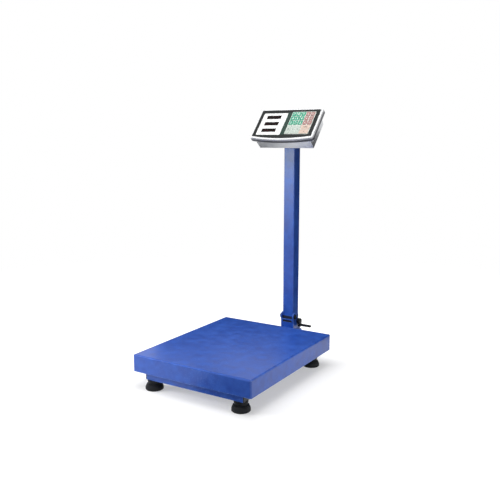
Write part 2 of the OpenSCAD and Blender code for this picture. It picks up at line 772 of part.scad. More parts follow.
// Bolt that turns with the crank
module clamp_bolt() {
  color(steel) translate([-cheek_out - hinge_nut_h - 2, clamp_y, clamp_z])
    xcyl(clamp_d, cheek_out + hinge_nut_h + 2 + arm_x0 + arm_t / 2);
}

// Arm with the hub on the clamp bolt
module crank_arm() {
  slope = asin((hub_r - arm_r) / throw);
  hy = hub_r * cos(slope);
  hz = -hub_r * sin(slope);
  ay = arm_r * cos(slope);
  az = -throw - arm_r * sin(slope);
  color(black) translate([0, clamp_y, clamp_z]) difference() {
    union() {
      translate([cheek_out + 0.3, 0, 0]) xcyl(2 * hub_r, hub_l + arm_t);
      translate([arm_x0, 0, -throw]) xcyl(2 * arm_r, arm_t);
      translate([arm_x0, 0, 0]) rotate([90, 0, 90]) linear_extrude(arm_t)
        polygon([[-hy, hz], [hy, hz], [ay, az], [-ay, az]]);
    }
    translate([cheek_out, 0, 0]) xcyl(clamp_d + 2 * run_fit, hub_l + 0.3 + arm_t / 2 + run_fit);
    translate([arm_x1 - spigot_l, 0, -throw]) xcyl(spigot_d + 2 * run_fit, spigot_l + eps);
  }
}

// Round grip of the crank
module crank_grip() {
  color(black) translate([arm_x1, clamp_y, clamp_z - throw]) {
    translate([-spigot_l + 0.2, 0, 0]) xcyl(spigot_d, spigot_l + 2);
    xcyl(grip_d, grip_l - 3);
    translate([grip_l - 3, 0, 0]) rotate([0, 90, 0]) cylinder(d1 = grip_d, d2 = grip_d - 5, h = 3);
  }
}

// Silver frame round the panel
module front_bezel() {
  color(silver) in_head() difference() {
    union() {
      difference() {
        outline(0, -bezel_t, 0);
        outline(head_wall, -bezel_t - eps, front_n0);
      }
      for (p = shell_screws) translate([p[0], p[1], -bezel_t]) cylinder(r = boss_r, h = bezel_t + front_n0 + eps);
      for (x = [-board_post_x, board_post_x], y = [-board_post_y, board_post_y])
        translate([x, y, board_n1]) cylinder(r = 4.5, h = front_n0 - board_n1 + eps);
    }
    outline(rim_w, panel_n0, eps);
    outline(rim_w + ledge_w, front_n0 - eps / 2, panel_n0 + eps);
    for (p = shell_screws) translate([p[0], p[1], -bezel_t - eps]) cylinder(r = m4_r + bolt_fit, h = m4_l);
  }
}

// Side profile of the shell drawn in by an offset
module belly(inset, n1) {
  intersection() {
    rotate([90, 0, 90]) translate([0, 0, -half_w]) linear_extrude(head_w) polygon([
      [belly_top1 - inset, n1], [belly_top1 - inset, belly_mid_n + inset / 2],
      [belly_top0 - inset / 2, back_n + inset], [belly_low + inset, back_n + inset], [belly_low + inset, n1]]);
    rotate([90, 0, 0]) translate([0, 0, -half_h - 20]) linear_extrude(head_h + 40) polygon([
      [-belly_half1 + inset, n1], [belly_half1 - inset, n1],
      [belly_half0 - inset, back_n], [-belly_half0 + inset, back_n]]);
  }
}

// Rear shell with its flange and bosses
module rear_shell() {
  color(silver) in_head() difference() {
    union() {
      difference() {
        union() {
          outline(0.8, flange_n0, flange_n1);
          belly(0, flange_n1);
        }
        belly(flange_t, flange_n1 + eps);
      }
      for (p = lug_screws) translate([p[0], p[1], back_in - eps]) cylinder(r = 5, h = 9);
    }
    for (p = shell_screws) translate([p[0], p[1], flange_n0 - eps]) cylinder(r = m4_r + bolt_fit, h = flange_t + 2 * eps);
    for (p = lug_screws) translate([p[0], p[1], back_n - eps]) cylinder(r = m4_r + bolt_fit, h = flange_t + 8 + 2 * eps);
    translate([inlet_x - inlet_w / 2 + 2, inlet_y - inlet_h / 2 + 2, back_n - eps])
      cube([inlet_w - 4, inlet_h - 4, flange_t + 2 * eps]);
  }
}

// Printed panel with the openings of the windows and keys
module face_panel() {
  color(black) in_head() difference() {
    outline(rim_w + bolt_fit, panel_n0, panel_n1);
    for (i = [-1, 0, 1])
      translate([window_x - window_w / 2, window_y + i * window_pitch - window_h / 2, panel_n0 - eps])
        cube([window_w, window_h, panel_t + 2 * eps]);
    for (k = KEYS) translate([key_x(k), key_y(k), panel_n0 - eps])
      rbox(key_w(k) + 2 * key_fit, key_h(k) + 2 * key_fit, panel_t + 2 * eps, key_r + key_fit);
  }
}

// Smoked lenses
module display_windows() {
  color(dark) in_head() for (i = [-1, 0, 1])
    translate([window_x - window_w / 2 + bolt_fit, window_y + i * window_pitch - window_h / 2 + bolt_fit, panel_n0])
      cube([window_w - 2 * bolt_fit, window_h - 2 * bolt_fit, panel_t - 0.2]);
}

// Display blocks on the board
module display_modules() {
  color(dark) in_head() for (i = [-1, 0, 1])
    translate([window_x - window_w / 2 - 2, window_y + i * window_pitch - window_h / 2 - 2, board_n1])
      cube([window_w + 4, window_h + 4, panel_n0 - 0.4 - board_n1]);
}

// Rubber mat with a dome under each key
module keypad_mat() {
  w = key_cols * key_px;
  h = key_rows * key_py;
  color(pale) in_head() {
    translate([pad_x - w / 2, pad_y - h / 2, board_n1]) cube([w, h, mat_n1 - board_n1]);
    for (k = KEYS) translate([key_x(k), key_y(k), mat_n1 - eps / 2]) cylinder(d = dome_d, h = dome_n - mat_n1 + eps / 2);
  }
}

// Circuit board with its larger parts
module main_board() {
  color(green) in_head() {
    translate([-board_post_x - 6, -board_post_y - 4, board_n0]) cube([2 * board_post_x + 12, 2 * board_post_y + 8, board_t]);
    for (b = board_blocks) translate([b[0], b[1], board_n0 - b[4]]) cube([b[2], b[3], b[4] + board_t / 2]);
  }
}

// Sealed battery on the shell's back wall
module battery() {
  color(dark) in_head() translate([battery_x, battery_y, back_in + 0.1]) {
    cube([battery_w, battery_l, battery_t]);
    for (x = [tab_in, battery_w - tab_in - tab_w])
      translate([x, battery_l - 2 * tab_in, battery_t - eps]) cube([tab_w, tab_w + 2, tab_w]);
  }
}

// Equal screws of the shell flange and the head bracket
module head_screws() {
  color(steel) in_head() {
    for (p = shell_screws) translate([p[0], p[1], flange_n0]) m4_screw();
    for (p = lug_screws) translate([p[0], p[1], lug_plate_n]) m4_screw();
  }
}

// Pan-head screw with its head towards -Z
module m4_screw() {
  translate([0, 0, -m4_head_t]) cylinder(r1 = m4_head_r - 0.8, r2 = m4_head_r, h = m4_head_t);
  translate([0, 0, -0.5]) cylinder(r = m4_r, h = m4_l - 2);
}

// Plate with the tilt lug on the back of the head
module head_bracket() {
  axis_n = back_n - lug_back;
  color(dark) in_head() difference() {
    union() {
      translate([-plate_hx, plate_y0, lug_plate_n]) cube([2 * plate_hx, plate_y1 - plate_y0, lug_plate_t]);
      translate([-lug_w / 2, lug_y - lug_r, axis_n]) cube([lug_w, 2 * lug_r, lug_back]);
      translate([-lug_w / 2, lug_y, axis_n]) xcyl(2 * lug_r, lug_w);
    }
    translate([-lug_w / 2 - eps, lug_y, axis_n]) xcyl(tilt_d + 2 * run_fit, lug_w + 2 * eps);
    for (p = lug_screws) translate([p[0], p[1], lug_plate_n - eps]) cylinder(r = m4_r + bolt_fit, h = lug_plate_t + 2 * eps);
  }
}

// Mains inlet with the frame of the switch
module power_inlet() {
  color(black) in_head() translate([inlet_x, 0, 0]) difference() {
    union() {
      translate([-inlet_w / 2, inlet_y - inlet_h / 2, inlet_n]) cube([inlet_w, inlet_h, inlet_flange]);
      translate([-inlet_w / 2 + 2.2, inlet_y - inlet_h / 2 + 2.2, back_n - eps])
        cube([inlet_w - 4.4, inlet_h - 4.4, inlet_body + eps]);
    }
    translate([-rocker_hole_w / 2, rocker_y - rocker_hole_l / 2, inlet_n - eps])
      cube([rocker_hole_w, rocker_hole_l, 11 + eps]);
    translate([-rocker_w / 2 - 1.2, rocker_y, inlet_n + 2.5]) xcyl(3 + 2 * run_fit, rocker_w + 2.4);
    translate([-12, inlet_y - 25, inlet_n - eps]) difference() {
      cube([24, 17, 16 + eps]);
      for (p = [[4, 5], [12, 9], [20, 5]]) translate([p[0] - 1, p[1] - 2.5, eps + 2]) cube([2, 5, 16]);
    }
  }
}

// Rocker of the power switch in its off position
module power_rocker() {
  half = rocker_l / 2;
  color(dark) in_head() translate([inlet_x, rocker_y, inlet_n + 2.5]) {
    rotate([rocker_tilt, 0, 0]) rotate([90, 0, 90]) translate([0, 0, -rocker_w / 2]) linear_extrude(rocker_w)
      polygon([[-half, -4.2], [0, -3], [half, -4.2], [half - 2, 3], [4, 6], [-4, 6], [-half + 2, 3]]);
    translate([-rocker_w / 2 - 1, 0, 0]) xcyl(3, rocker_w + 2);
  }
}

// One rubber key with its retaining flange
module key(name, tone) {
  k = key_named(name);
  w = key_w(k);
  h = key_h(k);
  color(tone) in_head() translate([key_x(k), key_y(k), 0]) {
    translate([0, 0, key_flange_n1 - 0.5]) rbox(w, h, key_n1 - key_flange_n1 + 0.5, key_r);
    translate([0, 0, key_flange_n0])
      rbox(w + 2 * key_flange, h + 2 * key_flange, key_flange_t, key_r + key_flange);
  }
}

base_frame();
frame_plugs();
foot_lock_nuts();
load_cell();
cell_spacers();
cell_bolts();
cell_cable();
top_frame();
pan_pads();
overload_stops();
hinge_bracket();
bracket_bolts();
pivot_pin();
hinge_nuts();
platform_pan();
levelling_foot(-1, -1);  // foot_front_left
levelling_foot(1, -1);  // foot_front_right
levelling_foot(-1, 1);  // foot_rear_left
levelling_foot(1, 1);  // foot_rear_right
column_tube();
column_foot();
column_cap();
column_screws();
tilt_bolt();
clamp_bolt();
crank_arm();
crank_grip();
front_bezel();
rear_shell();
face_panel();
display_windows();
display_modules();
keypad_mat();
main_board();
battery();
head_screws();
head_bracket();
power_inlet();
tilt_knob();
power_rocker();
key("key_7", green);  // key_7
key("key_8", green);  // key_8
key("key_9", green);  // key_9
key("key_4", green);  // key_4
key("key_5", green);  // key_5
key("key_6", green);  // key_6
key("key_1", green);  // key_1
key("key_2", green);  // key_2
key("key_3", green);  // key_3
key("key_0", pale);  // key_0
key("key_dot", pale);  // key_dot
key("key_clear", pale);  // key_clear
key("key_m1", pink);  // key_m1
key("key_m2", pink);  // key_m2
key("key_m3", pink);  // key_m3
key("key_m4", pink);  // key_m4
key("key_m5", pink);  // key_m5
key("key_m6", pink);  // key_m6
key("key_tare", cream);  // key_tare
key("key_total", cream);  // key_total
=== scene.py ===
"""Finishes, prints and stage of a folding platform scale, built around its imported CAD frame."""

import json
from math import cos, pi, radians, sin

import bmesh
import bpy
from mathutils import Euler, Matrix, Vector

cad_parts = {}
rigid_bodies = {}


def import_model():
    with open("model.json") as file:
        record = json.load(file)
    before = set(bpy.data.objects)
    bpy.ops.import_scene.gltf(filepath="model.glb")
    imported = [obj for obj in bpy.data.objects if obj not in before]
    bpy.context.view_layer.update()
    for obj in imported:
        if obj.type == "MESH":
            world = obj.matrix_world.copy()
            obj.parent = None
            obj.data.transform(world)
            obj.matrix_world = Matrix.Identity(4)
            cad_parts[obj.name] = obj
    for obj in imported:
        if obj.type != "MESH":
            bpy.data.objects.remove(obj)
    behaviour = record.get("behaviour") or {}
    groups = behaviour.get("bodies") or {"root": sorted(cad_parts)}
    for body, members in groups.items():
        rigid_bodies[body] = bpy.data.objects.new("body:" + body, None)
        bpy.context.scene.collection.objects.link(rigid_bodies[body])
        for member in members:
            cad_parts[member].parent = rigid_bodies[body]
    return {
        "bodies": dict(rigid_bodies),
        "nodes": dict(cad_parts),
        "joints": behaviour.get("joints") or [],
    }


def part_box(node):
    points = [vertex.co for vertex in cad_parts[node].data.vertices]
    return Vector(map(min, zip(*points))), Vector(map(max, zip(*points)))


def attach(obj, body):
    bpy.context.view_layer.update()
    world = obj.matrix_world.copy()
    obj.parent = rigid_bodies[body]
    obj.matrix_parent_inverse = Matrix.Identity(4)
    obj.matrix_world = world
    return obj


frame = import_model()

bl_info = {
    "name": "Platform scale finishes",
    "version": (1, 0, 0),
    "blender": (4, 5, 0),
    "location": "View3D > Sidebar > Scale",
    "description": "Finishes, prints and studio stage of a folding platform scale",
    "category": "Object",
}

MM = 0.001
NODES = frame["nodes"]
JOINTS = {joint["name"]: joint for joint in frame["joints"]}

KEPT = list(NODES.values()) + list(frame["bodies"].values())
for startup_object in [o for o in bpy.data.objects if o not in KEPT]:
    bpy.data.objects.remove(startup_object)
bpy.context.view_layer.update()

# Axes of the indicator head: across the panel, up its slope and out of it
EAST = Vector((1, 0, 0))
OUT = -Vector(JOINTS["key_5_press"]["axis"]).normalized()
RISE = OUT.cross(EAST)
BACKWARD = Vector((0, 1, 0))

# Nodes that share a finish
PAINTED = ("base_frame", "top_frame", "platform_pan", "column_tube")
CASTINGS = ("column_foot", "column_cap", "head_bracket")
FASTENERS = ("foot_lock_nuts", "cell_spacers", "cell_bolts", "overload_stops", "bracket_bolts",
             "column_screws", "tilt_bolt", "head_screws")
BLACKENED = ("pivot_pin", "hinge_nuts", "clamp_bolt")
ROUNDED_FASTENERS = ("bracket_bolts", "tilt_bolt", "pivot_pin", "hinge_nuts", "clamp_bolt")
FEET = ("foot_front_left", "foot_front_right", "foot_rear_left", "foot_rear_right")
GREEN_KEYS = ("key_7", "key_8", "key_9", "key_4", "key_5", "key_6", "key_1", "key_2", "key_3")
PALE_KEYS = ("key_0", "key_dot", "key_clear")
PINK_KEYS = ("key_m1", "key_m2", "key_m3", "key_m4", "key_m5", "key_m6")
CREAM_KEYS = ("key_tare", "key_total")

# Blind recess across the front web of the hinge bracket, whose faces are painted black as shade
RECESS_HALF = 23 * MM
RECESS_LOW = 117 * MM
RECESS_HIGH = 128 * MM
RECESS_SHALLOW = 0.4 * MM
RECESS_DEEP = 8 * MM

# Stud that stands out of the rubber of each foot
STUD_FOOT = 37 * MM
STUD_RADIUS = 6.5 * MM

# Screw heads in shares of their radius: dome, and depth, half length and half width of the cross recess
SCREW_SIDES = 32
DOME_HEIGHT = 0.22
DOME_OUTLINE = ((1.0, 0.0), (0.97, 0.45), (0.88, 0.82), (0.72, 1.0))
CROSS_DEPTH = 0.2
CROSS_MOUTH = (0.58, 0.13)
CROSS_FLOOR = (0.44, 0.09)

# Seat of a screw head: depth that counts as the screw's end, sink into it, first turn and further turns
SCREW_END = 0.05 * MM
HEAD_SINK = 0.02 * MM
FIRST_TURN = 20
NEXT_TURN = 37

# Share of a face's normal along the head's axis: at most on the bezel's side, at least on the rocker's front
SIDE_FACING = 0.5
FRONT_FACING = 0.85

# Printed fields of the panel in millimetres: middle east, middle rise, width, height, corner, soft edge
WHITE_FIELD = (-64.5, -1.5, 112.0, 117.0, 3.0)
DIVIDER_FIELD = (2.3, 0.8, 21.5, 119.0, 1.5)
KEY_FIELD = (64.0, 3.0, 106.0, 119.0, 3.0)
FIELD_SOFT = 0.08

# Soft edges of the blue collar above the painted shade band of the column's foot, and of the bright strip of
# painted highlight on the bezel
COLLAR_SOFT = 0.2 * MM
STRIP_SOFT = 0.4 * MM

# Size of the patches that hold the scuff strokes and painted sheen streaks
SCUFF_PATCH = 130 * MM

# Display windows and the unlit digits behind them
WINDOW_HEIGHT = 18.3 * MM
DIGITS_IN_ROW = 6
DIGIT_WIDTH = 7.0 * MM
DIGIT_HEIGHT = 13.2 * MM
DIGIT_PITCH = 10.2 * MM
DIGIT_LEAN = 0.1
BAR_WIDTH = 1.3 * MM
BAR_GAP = 0.3 * MM
BAR_DEPTH = 0.12 * MM
POINT_RADIUS = 0.6 * MM
POINT_GAP = 1.1 * MM

# Signs on the keys: text and height as a share of the digit height
KEY_SIGNS = {"key_dot": (".", 1.9), "key_clear": ("×", 0.9), "key_tare": (">0<", 0.8),
             "key_total": ("=", 0.75)}
PINK_SHARE = 0.62
KEY_SIGN_DEPTH = 0.16 * MM
ROCKER_SIGN_HEIGHT = 3.6 * MM
ROCKER_SIGN_DEPTH = 0.2 * MM
CAPITAL_SHARE = 0.7

# Lamps: name, power setting, width, height, place, target, spread in degrees, seen in reflections
LAMPS = (("Side lamp", "side_power", 0.5, 0.5, (-0.95, -0.85, 0.5), (-0.25, -0.385, 0.1), 70, False),
         ("Head lamp", "head_power", 0.6, 0.6, (-0.45, -0.9, 2.4), (0, 0.33, 0.93), 40, False),
         ("Low lamp", "low_power", 0.5, 0.3, (1.1, -0.3, 0.35), (0.25, -0.1, 0.08), 50, False),
         ("Top lamp", "top_power", 1.7, 1.7, (0.45, -0.55, 2.6), (0, 0, 0), 180, True))

# Floor: half of its side, how far past the pan its own light is full, and where it fades out; that own light
# is painted light, weaker next to the pan and whitening the shadow further out
FLOOR_HALF = 4.0
LIFT_REACH = 0.32
FADE_FROM = 1.4
FADE_TO = 2.6

# Cloth round the back: middle, radius and foot, then turn from straight behind in degrees and top there
CLOTH_MIDDLE = Vector((0, 0.1, 0))
CLOTH_RADIUS = 0.6
CLOTH_FOOT = 0.01
CLOTH_TOPS = ((-85, 0.42), (-60, 0.44), (-40, 0.45), (-20, 0.46), (-5, 0.6), (6, 0.9), (25, 0.92),
              (40, 0.92), (55, 0.9))

# Cloth on the floor: its level, then x at the pan and x away from it, with the two places in y
MAT_LEVEL = 0.004
MAT_SIDES = ((-0.04, -0.2), (0.12, 0.05), (0.3, 0.26))
MAT_NEAR = -0.4
MAT_FAR = -1.0

# White card: way out from the column, shifts across it, its bend, levels, tint and where it brightens
CARD_AWAY = 0.35
CARD_SHIFTS = (-0.22, -0.08, 0.08, 0.22)
CARD_BEND = 0.4
CARD_LEVELS = (0.35, 0.62, 0.92)
CARD_TINT = (1.0, 1.0, 0.72, 1.0)
CARD_DIM_LEVEL = 0.42
CARD_BRIGHT_LEVEL = 0.9


def srgb(red, green, blue):
    """A colour given in screen values from 0 to 255, as linear light with full alpha."""
    def linear(value):
        share = value / 255
        if share <= 0.04045:
            return share / 12.92
        return ((share + 0.055) / 1.055) ** 2.4
    return (linear(red), linear(green), linear(blue), 1.0)


def shade(colour, gain, more=0.0):
    """A colour made stronger or weaker, with some white added."""
    return tuple(min(1.0, gain * part + more) for part in colour[:3]) + (1.0,)


def colour_property(name, description, default):
    return bpy.props.FloatVectorProperty(
        name=name, description=description, default=default, size=4, subtype="COLOR", min=0, max=1)


def number_property(name, description, default, **kind):
    return bpy.props.FloatProperty(name=name, description=description, default=default, **kind)


def length_property(name, description, default):
    return number_property(name, description, default, min=0, subtype="DISTANCE", unit="LENGTH")


POWER = {"min": 0, "subtype": "POWER"}
ANGLE = {"subtype": "ANGLE", "unit": "ROTATION"}


class ScalePaintLook(bpy.types.PropertyGroup):
    """Paint and metal of the stand."""

    paint: colour_property("Paint", "Blue of the painted steel", srgb(47, 97, 197))
    paint_deep: colour_property("Deep paint", "Blue where the coat lies thicker", srgb(27, 69, 163))
    # Painted highlight: light blue laid along edges and in the scuff strokes
    paint_highlight: colour_property("Painted highlight at edges", "Light blue painted as highlight along edges and in streaks", srgb(118, 154, 226))
    peel: length_property("Orange peel", "Size of the ripple in the paint", 3.2 * MM)
    casting: colour_property("Casting", "Black of the painted castings", srgb(20, 24, 40))
    # Below this height the foot stays black, as painted shade in the gap under the column
    collar: length_property("Collar", "Height from which the column's foot is blue", 144 * MM)
    zinc: colour_property("Zinc", "Bright plating of the fasteners", srgb(190, 194, 200))
    black_steel: colour_property("Blackened steel", "Hinge pin and clamp bolt", srgb(48, 50, 56))
    aluminium: colour_property("Aluminium", "Machined load cell", srgb(205, 207, 210))
    rubber: colour_property("Rubber", "Black of the feet and pads", srgb(9, 12, 17))
    plastic: colour_property("Plastic", "Black of the knob, crank and plugs", srgb(17, 18, 22))


class ScaleHeadLook(bpy.types.PropertyGroup):
    """Housing, panel and keys of the indicator head."""

    silver: colour_property("Silver", "Silver of the housing", srgb(220, 222, 225))
    rim: colour_property("Rim", "Bright rim round the panel", srgb(238, 239, 241))
    # Painted highlight: the bright rim strip; painted shade: the grey of the bezel's sides
    strip: length_property("Rim strip", "Bright strip on the side of the rim", 8.5 * MM)
    wall: colour_property("Bezel wall", "Grey of the bezel round its sides", srgb(88, 89, 96))
    panel: colour_property("Panel", "Black of the printed panel", srgb(14, 18, 17))
    field: colour_property("Field", "White print round the displays", srgb(226, 227, 226))
    divider: colour_property("Divider", "Strip between displays and keys", srgb(34, 56, 48))
    pad: colour_property("Key field", "Pale print between the keys", srgb(214, 220, 214))
    lens: colour_property("Lens", "Smoked display windows", srgb(112, 54, 56))
    digits: colour_property("Digits", "Unlit display segments", srgb(176, 92, 82))
    green: colour_property("Green keys", "Number keys", srgb(64, 152, 124))
    pale: colour_property("Pale keys", "Keys under the numbers", srgb(184, 194, 186))
    pink: colour_property("Pink keys", "Memory keys", srgb(164, 126, 122))
    cream: colour_property("Cream keys", "Wide keys", srgb(205, 182, 168))
    light_ink: colour_property("Light ink", "Digits on coloured keys", srgb(244, 246, 242))
    dark_ink: colour_property("Dark ink", "Signs on pale keys", srgb(52, 60, 58))
    digit_height: length_property("Digit height", "Height of the digits on the keys", 10.5 * MM)


class ScaleStageLook(bpy.types.PropertyGroup):
    """Floor, lamps and camera."""

    floor: colour_property("Floor", "Pale floor", (0.6, 0.6, 0.6, 1.0))
    lift: number_property("Floor lift", "Light of the floor itself as the camera sees it", 0.42, min=0)
    fill: number_property("Fill", "Strength of the even light all round", 0.24, min=0)
    sheen: number_property("Sheen", "Strength of the white card in front of the column", 8, min=0)
    side_power: number_property("Side power", "Power of the lamp at the left", 2.0, **POWER)
    head_power: number_property("Head power", "Power of the lamp above the head", 1.15, **POWER)
    low_power: number_property("Low power", "Power of the low lamp at the right", 0.26, **POWER)
    top_power: number_property("Top power", "Power of the overhead lamp", 38, **POWER)
    camera_place: bpy.props.FloatVectorProperty(
        name="Camera place", description="Where the camera stands", default=(1.3034, -2.0935, 0.8956),
        subtype="TRANSLATION", unit="LENGTH")
    azimuth: number_property("Azimuth", "Turn of the camera about the upright", radians(31.756), **ANGLE)
    elevation: number_property("Elevation", "Fall of the camera's view", radians(9.622), **ANGLE)
    lens: number_property("Lens", "Focal length in millimetres on a 36 mm sensor", 47.304, min=1)


# Shapes

def reach(node, direction):
    """Lowest and highest place of a CAD node along a direction."""
    places = [vertex.co.dot(direction) for vertex in NODES[node].data.vertices]
    return min(places), max(places)


def middle_of(node, direction):
    return sum(reach(node, direction)) / 2


def stand(across, up, place):
    """Matrix that stands a piece at a place, with its x axis across and its z axis up."""
    pose = Matrix((across, up.cross(across), up)).transposed().to_4x4()
    pose.translation = place
    return pose


def on_head(east, rise, out):
    """Matrix that stands a piece on the slope of the head."""
    return stand(EAST, OUT, EAST * east + RISE * rise + OUT * out)


def mesh_of(shape, name):
    """Turns a bmesh into a named mesh."""
    mesh = bpy.data.meshes.new(name)
    shape.to_mesh(mesh)
    shape.free()
    return mesh


def new_object(name, data):
    """Shows a mesh, a curve, a lamp or a camera in the scene."""
    shown = bpy.data.objects.new(name, data)
    bpy.context.scene.collection.objects.link(shown)
    return shown


def link_mesh(name, mesh, material, body):
    """Shows a mesh as a piece that rides on a body."""
    piece = new_object(name, mesh)
    mesh.materials.clear()
    mesh.materials.append(material)
    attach(piece, body)


def finish_node(node, *materials):
    """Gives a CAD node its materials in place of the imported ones."""
    mesh = NODES[node].data
    mesh.materials.clear()
    for material in materials:
        mesh.materials.append(material)


def second_material(node, test):
    """Gives the second material to the faces of a node whose middle passes a test."""
    for face in NODES[node].data.polygons:
        face.material_index = 1 if test(face.center, face.normal) else 0


def soften(node, width, segments=2, angle=35):
    """Rounds the sharp edges of a CAD node as it is shown."""
    steps = (("Weld", "WELD", {"merge_threshold": 0.001 * MM}),
             ("Flats", "DECIMATE", {"decimate_type": "DISSOLVE", "angle_limit": radians(0.4)}),
             ("Edges", "BEVEL", {"width": width, "segments": segments, "limit_method": "ANGLE",
                                 "angle_limit": radians(angle), "use_clamp_overlap": True,
                                 "miter_outer": "MITER_ARC"}),
             ("Shade", "WEIGHTED_NORMAL", {"keep_sharp": False, "weight": 80}))
    for label, kind, settings in steps:
        modifier = NODES[node].modifiers.new(label, kind)
        for name, value in settings.items():
            setattr(modifier, name, value)


def letter_mesh(name, text, height, depth):
    """A thin mesh of digits or signs, centred on its own origin."""
    curve = bpy.data.curves.new(name, "FONT")
    curve.body = text
    curve.size = height / CAPITAL_SHARE
    curve.extrude = depth / 2
    curve.align_x = "CENTER"
    curve.resolution_u = 3
    writer = new_object(name, curve)
    bpy.context.view_layer.update()
    shown = writer.evaluated_get(bpy.context.evaluated_depsgraph_get())
    mesh = bpy.data.meshes.new_from_object(shown)
    bpy.data.objects.remove(writer)
    bpy.data.curves.remove(curve)
    low = [min(v.co[i] for v in mesh.vertices) for i in range(3)]
    high = [max(v.co[i] for v in mesh.vertices) for i in range(3)]
    mesh.transform(Matrix.Translation([-(low[i] + high[i]) / 2 for i in range(3)]))
    return mesh


def ring_of(shape, radius, height):
    turns = [2 * pi * i / SCREW_SIDES for i in range(SCREW_SIDES)]
    return [shape.verts.new((radius * cos(t), radius * sin(t), height)) for t in turns]


def join_rings(shape, first, second):
    """Faces between two rings with as many points each."""
    for i in range(len(first)):
        after = (i + 1) % len(first)
        shape.faces.new((first[i], first[after], second[after], second[i]))


def cross_ring(shape, half_length, half_width, height):
    """Twelve corners of a cross, in order round it."""
    quarter = [(half_length, -half_width), (half_length, half_width), (half_width, half_width)]
    places = []
    for turn in range(4):
        for x, y in quarter:
            for _ in range(turn):
                x, y = -y, x
            places.append((x, y, height))
    return [shape.verts.new(place) for place in places]


def screw_cap_mesh(name, radius):
    """Domed top of a screw head with a tapered cross recess."""
    shape = bmesh.new()
    dome = DOME_HEIGHT * radius
    depth = CROSS_DEPTH * radius
    rings = [ring_of(shape, radius * out, dome * up) for out, up in DOME_OUTLINE]
    for low, high in zip(rings, rings[1:]):
        join_rings(shape, low, high)
    mouth = cross_ring(shape, CROSS_MOUTH[0] * radius, CROSS_MOUTH[1] * radius, dome)
    floor = cross_ring(shape, CROSS_FLOOR[0] * radius, CROSS_FLOOR[1] * radius, dome - depth)
    join_rings(shape, mouth, floor)
    shape.faces.new(floor)
    shape.faces.new(rings[0])
    edges = [shape.edges.get((loop[i - 1], loop[i])) for loop in (rings[-1], mouth)
             for i in range(len(loop))]
    bmesh.ops.triangle_fill(shape, edges=edges, use_beauty=True)
    bmesh.ops.recalc_face_normals(shape, faces=shape.faces)
    return mesh_of(shape, name)


def islands(mesh):
    """Vertex numbers of each loose part of a mesh, with points at one place taken as joined."""
    home = {}
    parent = list(range(len(mesh.vertices)))

    def root(i):
        while parent[i] != i:
            parent[i] = parent[parent[i]]
            i = parent[i]
        return i

    for vertex in mesh.vertices:
        place = tuple(round(c * 1e6) for c in vertex.co)
        parent[root(vertex.index)] = root(home.setdefault(place, vertex.index))
    for edge in mesh.edges:
        parent[root(edge.vertices[0])] = root(edge.vertices[1])
    parts = {}
    for i in range(len(parent)):
        parts.setdefault(root(i), []).append(i)
    return list(parts.values())


def screw_tops(node, axis):
    """Middle and radius of the flat end of each screw of a node, on the side that an axis points to."""
    mesh = NODES[node].data
    tops = []
    for part in islands(mesh):
        places = [mesh.vertices[i].co for i in part]
        highest = max(place.dot(axis) for place in places)
        end = [place for place in places if place.dot(axis) > highest - SCREW_END]
        middle = sum(end, Vector()) / len(end)
        tops.append((middle, max((place - middle).length for place in end)))
    return tops


def cap_screws(node, axis, material, body):
    """Sets a domed top with a cross recess on each screw of a node, each turned a little further."""
    for number, (middle, radius) in enumerate(screw_tops(node, axis)):
        turn = Matrix.Rotation(radians(FIRST_TURN + NEXT_TURN * number), 4, "Z")
        mesh = screw_cap_mesh("%s_cap" % node, radius)
        mesh.transform(stand(EAST, axis, middle - axis * HEAD_SINK) @ turn)
        link_mesh("%s_cap_%d" % (node, number + 1), mesh, material, body)


def bar_outline(length):
    """Six corners of one bar of a display digit, lying along x."""
    half = length / 2
    tip = BAR_WIDTH / 2
    return [(-half, 0), (-half + tip, tip), (half - tip, tip),
            (half, 0), (half - tip, -tip), (-half + tip, -tip)]


def digit_outlines():
    """Outlines of the seven bars of a display digit and of its point."""
    across = DIGIT_WIDTH - BAR_WIDTH - BAR_GAP
    upright = DIGIT_HEIGHT / 2 - BAR_WIDTH / 2 - BAR_GAP
    top = DIGIT_HEIGHT / 2 - BAR_WIDTH / 2
    outlines = [[(x, y + level) for x, y in bar_outline(across)] for level in (-top, 0, top)]
    for side in (-1, 1):
        for level in (-1, 1):
            east = side * (DIGIT_WIDTH / 2 - BAR_WIDTH / 2)
            rise = level * (DIGIT_HEIGHT / 4 - BAR_WIDTH / 8)
            outlines.append([(east - y, rise + x) for x, y in bar_outline(upright)])
    east = DIGIT_WIDTH / 2 + POINT_GAP
    rise = -DIGIT_HEIGHT / 2 + POINT_RADIUS
    turns = [a * pi / 4 for a in range(8)]
    outlines.append([(east + POINT_RADIUS * cos(t), rise + POINT_RADIUS * sin(t)) for t in turns])
    return outlines


def display_digits_mesh():
    """One row of unlit display digits with their points, centred on its origin."""
    shape = bmesh.new()
    for place in range(DIGITS_IN_ROW):
        shift = (place - (DIGITS_IN_ROW - 1) / 2) * DIGIT_PITCH
        for outline in digit_outlines():
            back, front = [[shape.verts.new((x + shift + y * DIGIT_LEAN, y, level)) for x, y in outline]
                           for level in (0, BAR_DEPTH)]
            join_rings(shape, back, front)
            shape.faces.new(back)
            shape.faces.new(front)
    bmesh.ops.recalc_face_normals(shape, faces=shape.faces)
    return mesh_of(shape, "display_digits")


# Shader helpers

def add_node(tree, kind, inputs=None, **settings):
    """A shader node whose inputs take values or links."""
    node = tree.nodes.new("ShaderNode" + kind)
    for name, value in settings.items():
        setattr(node, name, value)
    for key, value in (inputs or {}).items():
        if isinstance(value, bpy.types.NodeSocket):
            tree.links.new(value, node.inputs[key])
        else:
            node.inputs[key].default_value = value
    return node


def spaced(values):
    """Values by the names of their sockets, which have spaces in them."""
    return {label.replace("_", " "): value for label, value in values.items()}


